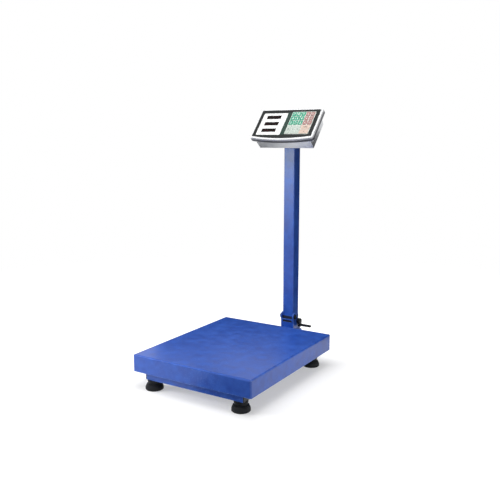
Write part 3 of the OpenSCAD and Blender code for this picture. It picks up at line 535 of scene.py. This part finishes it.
def calc(operation, first, second=None, clamp=False):
    """A calculated value, in the node tree of the sockets that it links."""
    values = [first] if second is None else [first, second]
    tree = next(value.id_data for value in values if isinstance(value, bpy.types.NodeSocket))
    node = add_node(tree, "Math", dict(enumerate(values)), operation=operation, use_clamp=clamp)
    return node.outputs[0]


def blend(factor, first, second, share=1.0):
    """Mixes two colours by a factor, or by a share of it."""
    if share < 1:
        factor = calc("MULTIPLY", factor, share)
    return add_node(factor.id_data, "Mix", {0: factor, 6: first, 7: second}, data_type="RGBA").outputs[2]


def spread(value, low, high, to_low=0.0, to_high=1.0):
    """Maps a value from one range to another and stops at its ends."""
    ends = {0: value, 1: low, 2: high, 3: to_low, 4: to_high}
    return add_node(value.id_data, "MapRange", ends, clamp=True).outputs[0]


def between(tone, low, high):
    return spread(tone, 0.0, 1.0, low, high)


def vector_math(operation, first, second):
    return add_node(first.id_data, "VectorMath", {0: first, 1: second}, operation=operation).outputs


def object_coords(tree):
    return add_node(tree, "TexCoord").outputs["Object"]


def parts_of(vector):
    return add_node(vector.id_data, "SeparateXYZ", {0: vector}).outputs


def past_box(sides):
    """Distance past a rectangle, from the place and the half size along each of its sides."""
    squares = []
    for place, half in sides:
        past = calc("MAXIMUM", calc("SUBTRACT", calc("ABSOLUTE", place), half), 0.0)
        squares.append(calc("MULTIPLY", past, past))
    return calc("SQRT", calc("ADD", *squares))


def noise(coords, scale, detail, rough):
    values = {"Vector": coords, "Scale": scale, "Detail": detail, "Roughness": rough}
    return add_node(coords.id_data, "TexNoise", values).outputs["Fac"]


def sized_noise(size, detail, rough):
    """Noise over an object, with its size from a socket."""
    return noise(object_coords(size.id_data), calc("DIVIDE", 1.0, size), detail, rough)


# Shared effects, each drawn by a function that gives its results

def effect_group(name, draw, outputs, **inputs):
    """A shader node group with named number sockets."""
    group = bpy.data.node_groups.new(name, "ShaderNodeTree")
    for label, default in spaced(inputs).items():
        socket = group.interface.new_socket(label, in_out="INPUT", socket_type="NodeSocketFloat")
        socket.default_value = default
    for label in outputs:
        group.interface.new_socket(label, in_out="OUTPUT", socket_type="NodeSocketFloat")
    results = draw(group, group.nodes.new("NodeGroupInput").outputs)
    end = group.nodes.new("NodeGroupOutput")
    for label, socket in zip(outputs, results):
        group.links.new(socket, end.inputs[label])


def draw_grain(tree, given):
    """Fine even grain as a height."""
    return [sized_noise(given["Size"], 3.0, 0.55)]


def draw_cloud(tree, given):
    """Slow change of tone over a surface."""
    centred = calc("SUBTRACT", sized_noise(given["Size"], 2.5, 0.5), 0.5)
    return [calc("ADD", calc("MULTIPLY", centred, given["Contrast"]), 0.5, clamp=True)]


def draw_edge(tree, given):
    """Line along the edges, broken up by a noise."""
    rounded = add_node(tree, "Bevel", {"Radius": given["Radius"]}, samples=4).outputs[0]
    flat = add_node(tree, "NewGeometry").outputs["Normal"]
    turned = spread(vector_math("DOT_PRODUCT", rounded, flat)["Value"], 0.995, 0.90)
    broken = spread(sized_noise(given["Breakup"], 3.0, 0.6), 0.35, 0.6, 0.15, 1.0)
    return [calc("MULTIPLY", turned, broken)]


def draw_dust(tree, given):
    """Dust that settles on faces that look up."""
    upward = spread(parts_of(add_node(tree, "TexCoord").outputs["Normal"])["Z"], 0.3, 0.95)
    patches = spread(sized_noise(given["Size"], 4.0, 0.65), 0.4, 0.75)
    return [calc("MULTIPLY", calc("MULTIPLY", upward, patches), given["Amount"])]


def draw_brush(tree, given):
    """Fine lines drawn out along the length of a turned or brushed part."""
    drawn = add_node(tree, "CombineXYZ", {0: given["Stretch"], 1: 1.0, 2: 1.0}).outputs[0]
    coords = vector_math("DIVIDE", object_coords(tree), drawn)[0]
    return [noise(coords, calc("DIVIDE", 1.0, given["Size"]), 2.0, 0.6)]


def draw_scuff_and_sheen_streak(tree, given):
    """Light strokes that handling leaves, in patches, which also stand as painted sheen streaks."""
    slant = {"Vector": object_coords(tree), "Rotation": (0, 0.5, 0.45)}
    turned = add_node(tree, "VectorRotate", slant, rotation_type="EULER_XYZ").outputs[0]
    sizes = {0: given["Length"], 1: given["Width"], 2: given["Width"]}
    drawn = add_node(tree, "CombineXYZ", sizes).outputs[0]
    strokes = spread(noise(vector_math("DIVIDE", turned, drawn)[0], 1.0, 2.0, 0.6), 0.55, 0.8)
    patches = spread(noise(object_coords(tree), 1 / SCUFF_PATCH, 2.0, 0.5), 0.42, 0.62)
    return [calc("MULTIPLY", strokes, patches)]


def draw_flake(tree, given):
    """Sparkle of metal flakes in a silver coat."""
    values = {"Vector": object_coords(tree), "Scale": calc("DIVIDE", 1.0, given["Size"])}
    cells = add_node(tree, "TexVoronoi", values).outputs["Color"]
    return [add_node(tree, "SeparateColor", {0: cells}).outputs[0]]


def draw_panel_place(tree, given):
    """Place on the head panel in millimetres across and up from its middle."""
    places = []
    for axis, node in ((EAST, "face_panel"), (RISE, "display_windows")):
        along = vector_math("DOT_PRODUCT", object_coords(tree), axis)["Value"]
        places.append(calc("DIVIDE", calc("SUBTRACT", along, middle_of(node, axis)), MM))
    return places


def draw_round_field(tree, given):
    """Printed rectangle with round corners, one inside it and nought outside."""
    sides = []
    for place, middle, size in (("East", "Middle east", "Width"), ("Rise", "Middle rise", "Height")):
        half = calc("SUBTRACT", calc("MULTIPLY", given[size], 0.5), given["Corner"])
        sides.append((calc("SUBTRACT", given[place], given[middle]), half))
    return [spread(calc("SUBTRACT", past_box(sides), given["Corner"]), -FIELD_SOFT, FIELD_SOFT, 1.0, 0.0)]


def effect(tree, name, output, **inputs):
    """Places a shared effect in a material with its own values."""
    return add_node(tree, "Group", spaced(inputs), node_tree=bpy.data.node_groups[name]).outputs[output]


def tone_of(tree, size, contrast):
    return effect(tree, "Cloudy tone", "Tone", Size=size, Contrast=contrast)


def edge_of(tree, radius, breakup):
    return effect(tree, "Edge line", "Edge", Radius=radius, Breakup=breakup)


# Materials

def bare_tree(owner):
    """Empty node tree of a material or a world."""
    owner.use_nodes = True
    owner.node_tree.nodes.clear()
    return owner.node_tree


def new_material(name, **settings):
    """A node material with a Principled shader whose plain values are set directly."""
    material = bpy.data.materials.new(name)
    tree = bare_tree(material)
    shader = add_node(tree, "BsdfPrincipled", spaced(settings))
    add_node(tree, "OutputMaterial", {0: shader.outputs[0]})
    return material, tree, shader


def feed(shader, **links):
    for label, socket in spaced(links).items():
        shader.id_data.links.new(socket, shader.inputs[label])


def bump(shader, height, depth):
    node = add_node(shader.id_data, "Bump", {"Height": height, "Distance": depth, "Strength": 1.0})
    feed(shader, Normal=node.outputs[0])


def grain_bump(shader, size, depth):
    bump(shader, effect(shader.id_data, "Fine grain", "Height", Size=size), depth)


def overlay(material, mask, colour):
    """Lays a second colour over a material's own where a mask is one."""
    shader = next(node for node in material.node_tree.nodes if node.type == "BSDF_PRINCIPLED")
    own = shader.inputs["Base Color"].links[0].from_socket
    feed(shader, Base_Color=blend(mask, own, colour))


def blue_paint(look):
    """Gloss paint with a cloudy tone, with a painted highlight along its edges and light scuff strokes that
    also stand as painted sheen streaks.
    """
    material, tree, shader = new_material("Blue paint", Coat_Roughness=0.16, Coat_IOR=1.45)
    body = blend(tone_of(tree, 35 * MM, 1.6), look.paint_deep, look.paint)
    edge = edge_of(tree, 3.0 * MM, 12 * MM)
    scuff_and_sheen = effect(tree, "Handling scuffs", "Scuff", Length=0.34, Width=3.2 * MM)
    # Painted highlight along the edges, and painted sheen streaks in the scuff strokes
    edge_and_streak_highlight = calc("MAXIMUM", calc("MULTIPLY", edge, 0.85), calc("MULTIPLY", scuff_and_sheen, 0.28))
    haze = tone_of(tree, 35 * MM, 1.8)
    feed(shader, Base_Color=blend(edge_and_streak_highlight, body, look.paint_highlight),
         Roughness=between(haze, 0.32, 0.42), Coat_Weight=between(haze, 0.2, 0.08))
    grain_bump(shader, look.peel, 0.12 * MM)
    return material


def black_casting(look, name):
    """Black paint on a rough casting, rubbed along its edges."""
    material, tree, shader = new_material(name, Specular_IOR_Level=0.45)
    tone = tone_of(tree, 20 * MM, 1.6)
    body = blend(tone, look.casting, shade(look.casting, 1.9, 0.02), 0.4)
    rubbed = blend(edge_of(tree, 0.8 * MM, 6 * MM), body, srgb(110, 114, 124), 0.35)
    feed(shader, Base_Color=rubbed, Roughness=between(tone, 0.4, 0.55))
    grain_bump(shader, 1.1 * MM, 0.09 * MM)
    return material


def shade_banded_casting(look):
    """Black casting painted blue with the column from its collar up; the black left below is painted shade
    in the gap under the column.
    """
    material = black_casting(look, "Banded casting")
    tree = material.node_tree
    height = parts_of(object_coords(tree))["Z"]
    collar = spread(height, look.collar - COLLAR_SOFT, look.collar + COLLAR_SOFT)
    overlay(material, collar, blend(tone_of(tree, 90 * MM, 2.2), look.paint_deep, look.paint))
    return material


def bright_metal(name, colour, size, stretch, low, high):
    """Plated or machined metal with fine drawn lines."""
    material, tree, shader = new_material(name, Metallic=1.0)
    line = effect(tree, "Brushed lines", "Line", Size=size, Stretch=stretch)
    feed(shader, Base_Color=blend(tone_of(tree, 12 * MM, 1.5), shade(colour, 0.72), colour),
         Roughness=spread(line, 0.3, 0.7, low, high))
    bump(shader, line, 0.02 * MM)
    return material


def black_rubber(look):
    """Black rubber with a little dust on top."""
    material, tree, shader = new_material("Foot rubber", Specular_IOR_Level=0.25)
    tone = tone_of(tree, 16 * MM, 1.4)
    body = blend(tone, look.rubber, shade(look.rubber, 1.5, 0.004))
    dust = effect(tree, "Settled dust", "Dust", Size=11 * MM, Amount=0.06)
    feed(shader, Base_Color=blend(dust, body, srgb(120, 118, 114)),
         Roughness=between(tone, 0.48, 0.62))
    grain_bump(shader, 0.8 * MM, 0.05 * MM)
    return material


def moulded_plastic(name, colour, low=0.32, high=0.44, grain=0.7 * MM):
    """Moulded plastic with a fine spark-eroded grain."""
    material, tree, shader = new_material(name, Specular_IOR_Level=0.5)
    tone = tone_of(tree, 14 * MM, 1.2)
    body = blend(tone, colour, shade(colour, 1.35, 0.006), 0.5)
    rubbed = blend(edge_of(tree, 0.7 * MM, 8 * MM), body, shade(colour, 1.5, 0.03), 0.4)
    feed(shader, Base_Color=rubbed, Roughness=between(tone, low, high))
    grain_bump(shader, grain, 0.03 * MM)
    return material


def silver_coat(name, colour, low, high, metallic):
    """Silver coat with fine flakes, its edges blended toward near white as a painted highlight."""
    material, tree, shader = new_material(name, Metallic=metallic, Coat_Roughness=0.1)
    tone = tone_of(tree, 30 * MM, 1.4)
    flake = effect(tree, "Metal flakes", "Flake", Size=0.45 * MM)
    body = blend(flake, colour, shade(colour, 0.86), 0.6)
    # Painted highlight: edges blended toward near white
    bright = blend(edge_of(tree, 0.8 * MM, 10 * MM), body, srgb(232, 233, 236), 0.5)
    feed(shader, Base_Color=bright, Roughness=between(tone, low, high),
         Coat_Weight=between(tone, 0.5, 0.3))
    grain_bump(shader, 0.9 * MM, 0.015 * MM)
    return material


def bezel_wall_painted_shade(look):
    """Grey side of the bezel as painted shade, with a bright strip of painted highlight under its rim."""
    material = moulded_plastic("Bezel wall", look.wall, 0.3, 0.42)
    tree = material.node_tree
    out = vector_math("DOT_PRODUCT", object_coords(tree), OUT)["Value"]
    edge = reach("front_bezel", OUT)[1] - look.strip
    # Bright strip under the rim as painted highlight
    overlay(material, spread(out, edge - STRIP_SOFT, edge), look.rim)
    return material


def printed_panel(look):
    """Black panel with its printed fields."""
    material, tree, shader = new_material("Printed panel", Coat_Roughness=0.05, Specular_IOR_Level=0.25)
    haze = tone_of(tree, 50 * MM, 1.4)
    east = effect(tree, "Panel place", "East")
    rise = effect(tree, "Panel place", "Rise")
    colour = blend(haze, look.panel, shade(look.panel, 1.6), 0.6)
    for field, ink in ((WHITE_FIELD, look.field), (DIVIDER_FIELD, look.divider), (KEY_FIELD, look.pad)):
        mask = effect(tree, "Round field", "Mask", East=east, Rise=rise, Middle_east=field[0],
                      Middle_rise=field[1], Width=field[2], Height=field[3], Corner=field[4])
        colour = blend(mask, colour, ink)
    feed(shader, Base_Color=colour, Roughness=between(haze, 0.3, 0.4),
         Coat_Weight=between(haze, 0.1, 0.02))
    grain_bump(shader, 0.6 * MM, 0.012 * MM)
    return material


def smoked_lens(look):
    """Tinted clear plastic of the display windows."""
    material, tree, shader = new_material("Smoked lens", Transmission_Weight=1.0, IOR=1.22)
    haze = tone_of(tree, 12 * MM, 1.2)
    feed(shader, Base_Color=blend(haze, look.lens, shade(look.lens, 0.7)),
         Roughness=between(haze, 0.02, 0.06))
    grain_bump(shader, 4 * MM, 0.004 * MM)
    return material


def key_rubber(name, colour):
    """Moulded key with a satin top."""
    material, tree, shader = new_material(name, Specular_IOR_Level=0.4, Sheen_Weight=0.05)
    tone = tone_of(tree, 8 * MM, 1.3)
    body = blend(tone, shade(colour, 0.86), colour)
    worn = blend(edge_of(tree, 0.6 * MM, 4 * MM), body, shade(colour, 1.15, 0.03), 0.5)
    feed(shader, Base_Color=worn, Roughness=between(tone, 0.42, 0.55))
    grain_bump(shader, 0.5 * MM, 0.02 * MM)
    return material


def printed_ink(name, colour):
    """Satin ink, a little uneven."""
    material, tree, shader = new_material(name, Specular_IOR_Level=0.4)
    tone = tone_of(tree, 3 * MM, 1.4)
    feed(shader, Base_Color=blend(tone, shade(colour, 0.88), colour),
         Roughness=between(tone, 0.35, 0.5))
    grain_bump(shader, 0.4 * MM, 0.01 * MM)
    return material


# Operators

class SCALE_OT_shared_effects(bpy.types.Operator):
    """Builds the shader node groups that the finishes share"""

    bl_idname = "scale.shared_effects"
    bl_label = "Shared effects"

    def execute(self, context):
        effect_group("Fine grain", draw_grain, ["Height"], Size=0.001)
        effect_group("Cloudy tone", draw_cloud, ["Tone"], Size=0.1, Contrast=1.0)
        effect_group("Edge line", draw_edge, ["Edge"], Radius=0.001, Breakup=0.01)
        effect_group("Settled dust", draw_dust, ["Dust"], Size=0.02, Amount=0.2)
        effect_group("Brushed lines", draw_brush, ["Line"], Size=0.0004, Stretch=30.0)
        # The scuff strokes are partly handling wear and partly painted sheen streaks
        effect_group("Handling scuffs", draw_scuff_and_sheen_streak, ["Scuff"], Length=0.06, Width=0.002)
        effect_group("Metal flakes", draw_flake, ["Flake"], Size=0.0005)
        effect_group("Panel place", draw_panel_place, ["East", "Rise"])
        effect_group("Round field", draw_round_field, ["Mask"], East=0.0, Rise=0.0, Middle_east=0.0,
                     Middle_rise=0.0, Width=10.0, Height=10.0, Corner=1.0)
        return {"FINISHED"}


class SCALE_OT_painted_steel(bpy.types.Operator):
    """Paints the frame, the weighing pan, the hinge bracket and the column"""

    bl_idname = "scale.painted_steel"
    bl_label = "Painted steel"

    def execute(self, context):
        look = context.scene.scale_paint
        paint = blue_paint(look)
        for node in PAINTED:
            finish_node(node, paint)
        # Faces inside the recess take black as painted shade
        finish_node("hinge_bracket", paint, black_casting(look, "Recess black"))
        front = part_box("hinge_bracket")[0].y

        def in_shaded_recess(place, normal):
            inside = abs(place.x) < RECESS_HALF and RECESS_LOW < place.z < RECESS_HIGH
            return inside and RECESS_SHALLOW < place.y - front < RECESS_DEEP

        second_material("hinge_bracket", in_shaded_recess)
        soften("hinge_bracket", 0.8 * MM)
        return {"FINISHED"}


class SCALE_OT_castings(bpy.types.Operator):
    """Finishes the black castings of the hinge and the tilt clevis"""

    bl_idname = "scale.castings"
    bl_label = "Black castings"

    def execute(self, context):
        look = context.scene.scale_paint
        casting = black_casting(look, "Black casting")
        for node in CASTINGS:
            finish_node(node, casting)
            soften(node, 0.7 * MM)
        # The column's foot is black below its collar as painted shade, blue above
        finish_node("column_foot", shade_banded_casting(look))
        return {"FINISHED"}


class SCALE_OT_fasteners(bpy.types.Operator):
    """Plates the bolts, nuts, screws and spacers"""

    bl_idname = "scale.fasteners"
    bl_label = "Plated fasteners"

    def execute(self, context):
        look = context.scene.scale_paint
        zinc = bright_metal("Zinc plate", look.zinc, 0.5 * MM, 1.0, 0.24, 0.4)
        for node in FASTENERS:
            finish_node(node, zinc)
        dark = bright_metal("Blackened steel", look.black_steel, 0.5 * MM, 1.0, 0.34, 0.5)
        for node in BLACKENED:
            finish_node(node, dark)
        for node in ROUNDED_FASTENERS:
            soften(node, 0.5 * MM)
        cap_screws("column_screws", BACKWARD, zinc, "column")
        cap_screws("head_screws", -OUT, zinc, "head")
        return {"FINISHED"}


class SCALE_OT_rubber_parts(bpy.types.Operator):
    """Finishes the levelling feet, the pads under the pan and the tube plugs"""

    bl_idname = "scale.rubber_parts"
    bl_label = "Feet, pads and plugs"

    def execute(self, context):
        look = context.scene.scale_paint
        rubber = black_rubber(look)
        stud = bright_metal("Stud zinc", look.zinc, 0.4 * MM, 1.0, 0.26, 0.42)
        for node in FEET:
            finish_node(node, rubber, stud)
            low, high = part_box(node)
            middle = (low + high) / 2
            second_material(node, lambda place, normal: place.z > STUD_FOOT
                            and (place.xy - middle.xy).length < STUD_RADIUS)
        finish_node("pan_pads", rubber)
        finish_node("frame_plugs", moulded_plastic("Black plastic", look.plastic))
        soften("frame_plugs", 0.8 * MM)
        return {"FINISHED"}


class SCALE_OT_load_cell(bpy.types.Operator):
    """Finishes the load cell and its lead"""

    bl_idname = "scale.load_cell"
    bl_label = "Load cell"

    def execute(self, context):
        look = context.scene.scale_paint
        machined = bright_metal("Machined aluminium", look.aluminium, 0.35 * MM, 24.0, 0.28, 0.5)
        finish_node("load_cell", machined)
        finish_node("cell_cable", moulded_plastic("Cable jacket", look.rubber, 0.45, 0.6, 0.5 * MM))
        return {"FINISHED"}


class SCALE_OT_hand_parts(bpy.types.Operator):
    """Finishes the clamp crank and the tilt knob"""

    bl_idname = "scale.hand_parts"
    bl_label = "Crank and knob"

    def execute(self, context):
        gloss = moulded_plastic("Gloss black", context.scene.scale_paint.plastic, 0.2, 0.32, 1.2 * MM)
        for node, width, segments in (("crank_arm", 0.8, 2), ("crank_grip", 1.2, 3), ("tilt_knob", 0.6, 2)):
            finish_node(node, gloss)
            soften(node, width * MM, segments)
        return {"FINISHED"}


class SCALE_OT_head_housing(bpy.types.Operator):
    """Finishes the silver bezel and rear shell of the head"""

    bl_idname = "scale.head_housing"
    bl_label = "Head housing"

    def execute(self, context):
        look = context.scene.scale_head
        finish_node("rear_shell", silver_coat("Silver coat", look.silver, 0.26, 0.36, 0.85))
        finish_node("front_bezel", silver_coat("Polished rim", look.rim, 0.2, 0.3, 0.35), bezel_wall_painted_shade(look))
        # The bezel's side faces take grey as painted shade and a strip of painted highlight
        second_material("front_bezel", lambda place, normal: abs(normal.dot(OUT)) < SIDE_FACING)
        soften("front_bezel", 1.2 * MM, 3)
        soften("rear_shell", 2.0 * MM, 3, 25)
        return {"FINISHED"}


class SCALE_OT_face(bpy.types.Operator):
    """Prints the panel and fits the smoked windows with their unlit digits"""

    bl_idname = "scale.face"
    bl_label = "Panel and displays"

    def execute(self, context):
        look = context.scene.scale_head
        finish_node("face_panel", printed_panel(look))
        finish_node("display_windows", smoked_lens(look))
        finish_node("display_modules", moulded_plastic("Display block", srgb(30, 24, 25), 0.4, 0.55))
        finish_node("keypad_mat", key_rubber("Silicone mat", srgb(214, 214, 208)))
        finish_node("main_board", moulded_plastic("Circuit board", srgb(30, 104, 62), 0.3, 0.45))
        finish_node("battery", moulded_plastic("Battery case", srgb(62, 62, 68), 0.4, 0.55))
        self.fit_digits(printed_ink("Unlit segments", look.digits))
        return {"FINISHED"}

    def fit_digits(self, ink):
        """Lays a row of digits on the display module behind each window."""
        low, high = reach("display_windows", RISE)
        front = reach("display_modules", OUT)[1]
        east = middle_of("display_windows", EAST)
        for row, rise in enumerate((high - WINDOW_HEIGHT / 2, (low + high) / 2, low + WINDOW_HEIGHT / 2)):
            mesh = display_digits_mesh()
            mesh.transform(on_head(east, rise, front))
            link_mesh("display_digits_%d" % (row + 1), mesh, ink, "head")


class SCALE_OT_keypad(bpy.types.Operator):
    """Colours the keys and prints their digits and signs"""

    bl_idname = "scale.keypad"
    bl_label = "Keypad"

    def execute(self, context):
        look = context.scene.scale_head
        light = printed_ink("Light ink", look.light_ink)
        dark = printed_ink("Dark ink", look.dark_ink)
        kinds = ((GREEN_KEYS, "Green key", look.green, light, "key_green"),
                 (PALE_KEYS, "Pale key", look.pale, dark, "key_pale"),
                 (PINK_KEYS, "Pink key", look.pink, light, "key_pink"),
                 (CREAM_KEYS, "Cream key", look.cream, dark, "key_cream"))
        for keys, name, colour, ink, slot in kinds:
            finish = key_rubber(name, colour)
            for key in keys:
                finish_node(key, finish)
                soften(key, 0.5 * MM, 3)
                self.print_sign(key, look.digit_height, ink, slot)
        return {"FINISHED"}

    def print_sign(self, key, digit_height, ink, slot):
        text, share = KEY_SIGNS.get(key, (key[-1], 1.0))
        if key in PINK_KEYS:
            share = PINK_SHARE
        mesh = letter_mesh("sign_" + key, text, digit_height * share, KEY_SIGN_DEPTH)
        mesh.transform(on_head(middle_of(key, EAST), middle_of(key, RISE), reach(key, OUT)[1]))
        link_mesh("sign_" + key, mesh, ink, key)


class SCALE_OT_power_entry(bpy.types.Operator):
    """Finishes the mains inlet and the power switch"""

    bl_idname = "scale.power_entry"
    bl_label = "Power entry"

    def execute(self, context):
        black = context.scene.scale_paint.plastic
        finish_node("power_inlet", moulded_plastic("Inlet black", black, 0.36, 0.5))
        finish_node("power_rocker", moulded_plastic("Rocker black", black, 0.2, 0.3, 1.0 * MM))
        soften("power_rocker", 0.5 * MM)
        soften("power_inlet", 0.5 * MM)
        ink = printed_ink("Switch ink", context.scene.scale_head.light_ink)
        self.mark_rocker(1, "rocker_sign_on", "I", ink)
        self.mark_rocker(-1, "rocker_sign_off", "O", ink)
        return {"FINISHED"}

    def mark_rocker(self, side, name, text, ink):
        """Prints a sign on one half of the rocker."""
        middle = middle_of("power_rocker", RISE)
        half = [face for face in NODES["power_rocker"].data.polygons
                if face.normal.dot(-OUT) > FRONT_FACING and (face.center.dot(RISE) - middle) * side > 0]
        if not half:
            raise RuntimeError("The rocker has no face for its sign")
        area = sum(face.area for face in half)
        place = sum((face.center * face.area for face in half), Vector()) / area
        up = sum((face.normal * face.area for face in half), Vector()).normalized()
        mesh = letter_mesh(name, text, ROCKER_SIGN_HEIGHT, ROCKER_SIGN_DEPTH)
        mesh.transform(stand(-EAST, up, place))
        link_mesh(name, mesh, ink, "rocker")


# Stage

def outside_pan(tree):
    """Distance over the floor from the rectangle that the pan covers."""
    low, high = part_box("platform_pan")
    place = parts_of(object_coords(tree))
    return past_box([(calc("SUBTRACT", place[i], (low[i] + high[i]) / 2), (high[i] - low[i]) / 2)
                     for i in range(2)])


def seen(tree):
    """One for rays of the camera, of reflections and through glass, nought for light on surfaces."""
    rays = add_node(tree, "LightPath").outputs
    turned = calc("MAXIMUM", rays["Is Glossy Ray"], rays["Is Transmission Ray"])
    return calc("MAXIMUM", rays["Is Camera Ray"], turned)


def floor_material(look):
    """Pale floor that stays white to the camera, keeps the shadow next to the pan, whitens it further out
    with painted light and fades out far away.
    """
    material = bpy.data.materials.new("Studio floor")
    tree = bare_tree(material)
    matt = add_node(tree, "BsdfDiffuse", {"Color": look.floor})
    # Painted light: the floor's own light grows away from the pan and whitens the shadow there
    lift = spread(outside_pan(tree), 0.0, LIFT_REACH, look.lift, 1.0)
    glow = add_node(tree, "Emission", {"Strength": calc("MULTIPLY", seen(tree), lift)})
    lit = add_node(tree, "AddShader", {0: matt.outputs[0], 1: glow.outputs[0]})
    far = add_node(tree, "VectorMath", {0: object_coords(tree)}, operation="LENGTH").outputs["Value"]
    fade = spread(far, FADE_FROM, FADE_TO)
    clear = add_node(tree, "BsdfTransparent")
    mixed = add_node(tree, "MixShader", {0: fade, 1: lit.outputs[0], 2: clear.outputs[0]})
    add_node(tree, "OutputMaterial", {0: mixed.outputs[0]})
    return material


def cloth_material():
    """Matt dark grey cloth."""
    material, tree, shader = new_material("Card cloth", Roughness=0.9)
    weave = effect(tree, "Fine grain", "Height", Size=4 * MM)
    feed(shader, Base_Color=blend(weave, srgb(40, 42, 46), srgb(52, 54, 58)))
    return material


def white_card_material(look):
    """Glowing card, stronger towards its top."""
    material = bpy.data.materials.new("White card")
    tree = bare_tree(material)
    glow = spread(parts_of(object_coords(tree))["Z"], CARD_DIM_LEVEL, CARD_BRIGHT_LEVEL, 1.0, look.sheen)
    lamp = add_node(tree, "Emission", {"Color": CARD_TINT, "Strength": glow})
    add_node(tree, "OutputMaterial", {0: lamp.outputs[0]})
    return material


def white_world(look):
    """World that is white to the camera and in reflections, and a soft fill elsewhere."""
    world = bpy.data.worlds.new("Studio")
    tree = bare_tree(world)
    strength = between(seen(tree), look.fill, 1.0)
    sky = add_node(tree, "Background", {"Color": (1, 1, 1, 1), "Strength": strength})
    add_node(tree, "OutputWorld", {0: sky.outputs[0]})
    bpy.context.scene.world = world


def soft_lamp(name, power, width, height, place, target, spread_angle, in_gloss):
    """Hangs a rectangular lamp that faces a target."""
    lamp = bpy.data.lights.new(name, "AREA")
    lamp.spread = radians(spread_angle)
    lamp.shape = "RECTANGLE"
    lamp.size = width
    lamp.size_y = height
    lamp.energy = power
    holder = new_object(name, lamp)
    holder.location = place
    holder.rotation_euler = (Vector(target) - Vector(place)).to_track_quat("-Z", "Y").to_euler()
    holder.visible_glossy = in_gloss


def stage_piece(name, mesh, material):
    """Places a piece of the stage."""
    mesh.materials.append(material)
    piece = new_object(name, mesh)
    return piece


def gloss_card(name, columns, material):
    """Hangs a card, given as columns of places, that only reflections see."""
    shape = bmesh.new()
    points = [[shape.verts.new(place) for place in column] for column in columns]
    for first, second in zip(points, points[1:]):
        for i in range(len(first) - 1):
            shape.faces.new((first[i], second[i], second[i + 1], first[i + 1]))
    card = stage_piece(name, mesh_of(shape, name), material)
    for ray in ("camera", "diffuse", "shadow", "transmission", "volume_scatter"):
        setattr(card, "visible_" + ray, False)
    return card


class SCALE_OT_stage(bpy.types.Operator):
    """Lays the floor, hangs the lamps and sets up the camera"""

    bl_idname = "scale.stage"
    bl_label = "Studio stage"

    def execute(self, context):
        look = context.scene.scale_stage
        context.scene.view_settings.view_transform = "Standard"
        white_world(look)
        self.lay_floor(look)
        for name, power, *rest in LAMPS:
            soft_lamp(name, getattr(look, power), *rest)
        cloth = cloth_material()
        self.hang_cloth(cloth)
        self.lay_mat(cloth)
        self.hang_white_card(look)
        self.set_camera(context.scene, look)
        return {"FINISHED"}

    def lay_floor(self, look):
        shape = bmesh.new()
        bmesh.ops.create_grid(shape, x_segments=8, y_segments=8, size=FLOOR_HALF)
        stage_piece("studio_floor", mesh_of(shape, "studio_floor"), floor_material(look))

    def hang_cloth(self, cloth):
        """Dark studio cloth round the back of the scale, seen only in reflections."""
        columns = []
        for degrees, top in CLOTH_TOPS:
            turn = radians(degrees)
            place = CLOTH_MIDDLE + CLOTH_RADIUS * Vector((sin(turn), cos(turn), 0))
            columns.append([(place.x, place.y, level) for level in (CLOTH_FOOT, top)])
        gloss_card("studio_card", columns, cloth)

    def lay_mat(self, cloth):
        """Dark studio cloth on the floor in front of the pan, seen only in reflections."""
        columns = [[(near, MAT_NEAR, MAT_LEVEL), (far, MAT_FAR, MAT_LEVEL)] for near, far in MAT_SIDES]
        gloss_card("studio_floor_card", columns, cloth)

    def hang_white_card(self, look):
        """White studio card on the left in front of the column, which alone reflects it."""
        away = Vector((-sin(look.azimuth), -cos(look.azimuth), 0))
        across = Vector((away.y, -away.x, 0))
        middle = Vector((0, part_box("column_tube")[0].y, 0)) + CARD_AWAY * away
        columns = []
        for shift in CARD_SHIFTS:
            place = middle + shift * across - CARD_BEND * shift * shift * away
            columns.append([(place.x, place.y, level) for level in CARD_LEVELS])
        card = gloss_card("studio_white_card", columns, white_card_material(look))
        lit = bpy.data.collections.new("Lit by the white card")
        lit.objects.link(NODES["column_tube"])
        card.light_linking.receiver_collection = lit

    def set_camera(self, scene, look):
        data = bpy.data.cameras.new("Camera")
        data.lens = look.lens
        data.sensor_width = 36
        data.clip_start = 0.05
        data.clip_end = 50
        camera = new_object("Camera", data)
        aim = Euler((pi / 2 - look.elevation, 0, look.azimuth))
        camera.matrix_world = Matrix.LocRotScale(Vector(look.camera_place), aim, None)
        scene.camera = camera


class SCALE_PT_finishes(bpy.types.Panel):
    """Sidebar list of the finishes and the steps that build them"""

    bl_idname = "SCALE_PT_finishes"
    bl_label = "Platform scale"
    bl_space_type = "VIEW_3D"
    bl_region_type = "UI"
    bl_category = "Scale"

    def draw(self, context):
        for look, kind in LOOKS.items():
            box = self.layout.box()
            for name in kind.__annotations__:
                box.prop(getattr(context.scene, look), name)
        for step in STEPS:
            self.layout.operator(step.bl_idname)


LOOKS = {"scale_paint": ScalePaintLook, "scale_head": ScaleHeadLook, "scale_stage": ScaleStageLook}
STEPS = (SCALE_OT_shared_effects, SCALE_OT_painted_steel, SCALE_OT_castings, SCALE_OT_fasteners,
         SCALE_OT_rubber_parts, SCALE_OT_load_cell, SCALE_OT_hand_parts, SCALE_OT_head_housing,
         SCALE_OT_face, SCALE_OT_keypad, SCALE_OT_power_entry, SCALE_OT_stage)
CLASSES = (*LOOKS.values(), *STEPS, SCALE_PT_finishes)


def register():
    for kind in CLASSES:
        bpy.utils.register_class(kind)
    for name, kind in LOOKS.items():
        setattr(bpy.types.Scene, name, bpy.props.PointerProperty(type=kind))


def unregister():
    for name in LOOKS:
        delattr(bpy.types.Scene, name)
    for kind in reversed(CLASSES):
        bpy.utils.unregister_class(kind)


def main():
    register()
    for step in STEPS:
        getattr(bpy.ops.scale, step.bl_idname.partition(".")[2])()


if __name__ == "__main__":
    main()
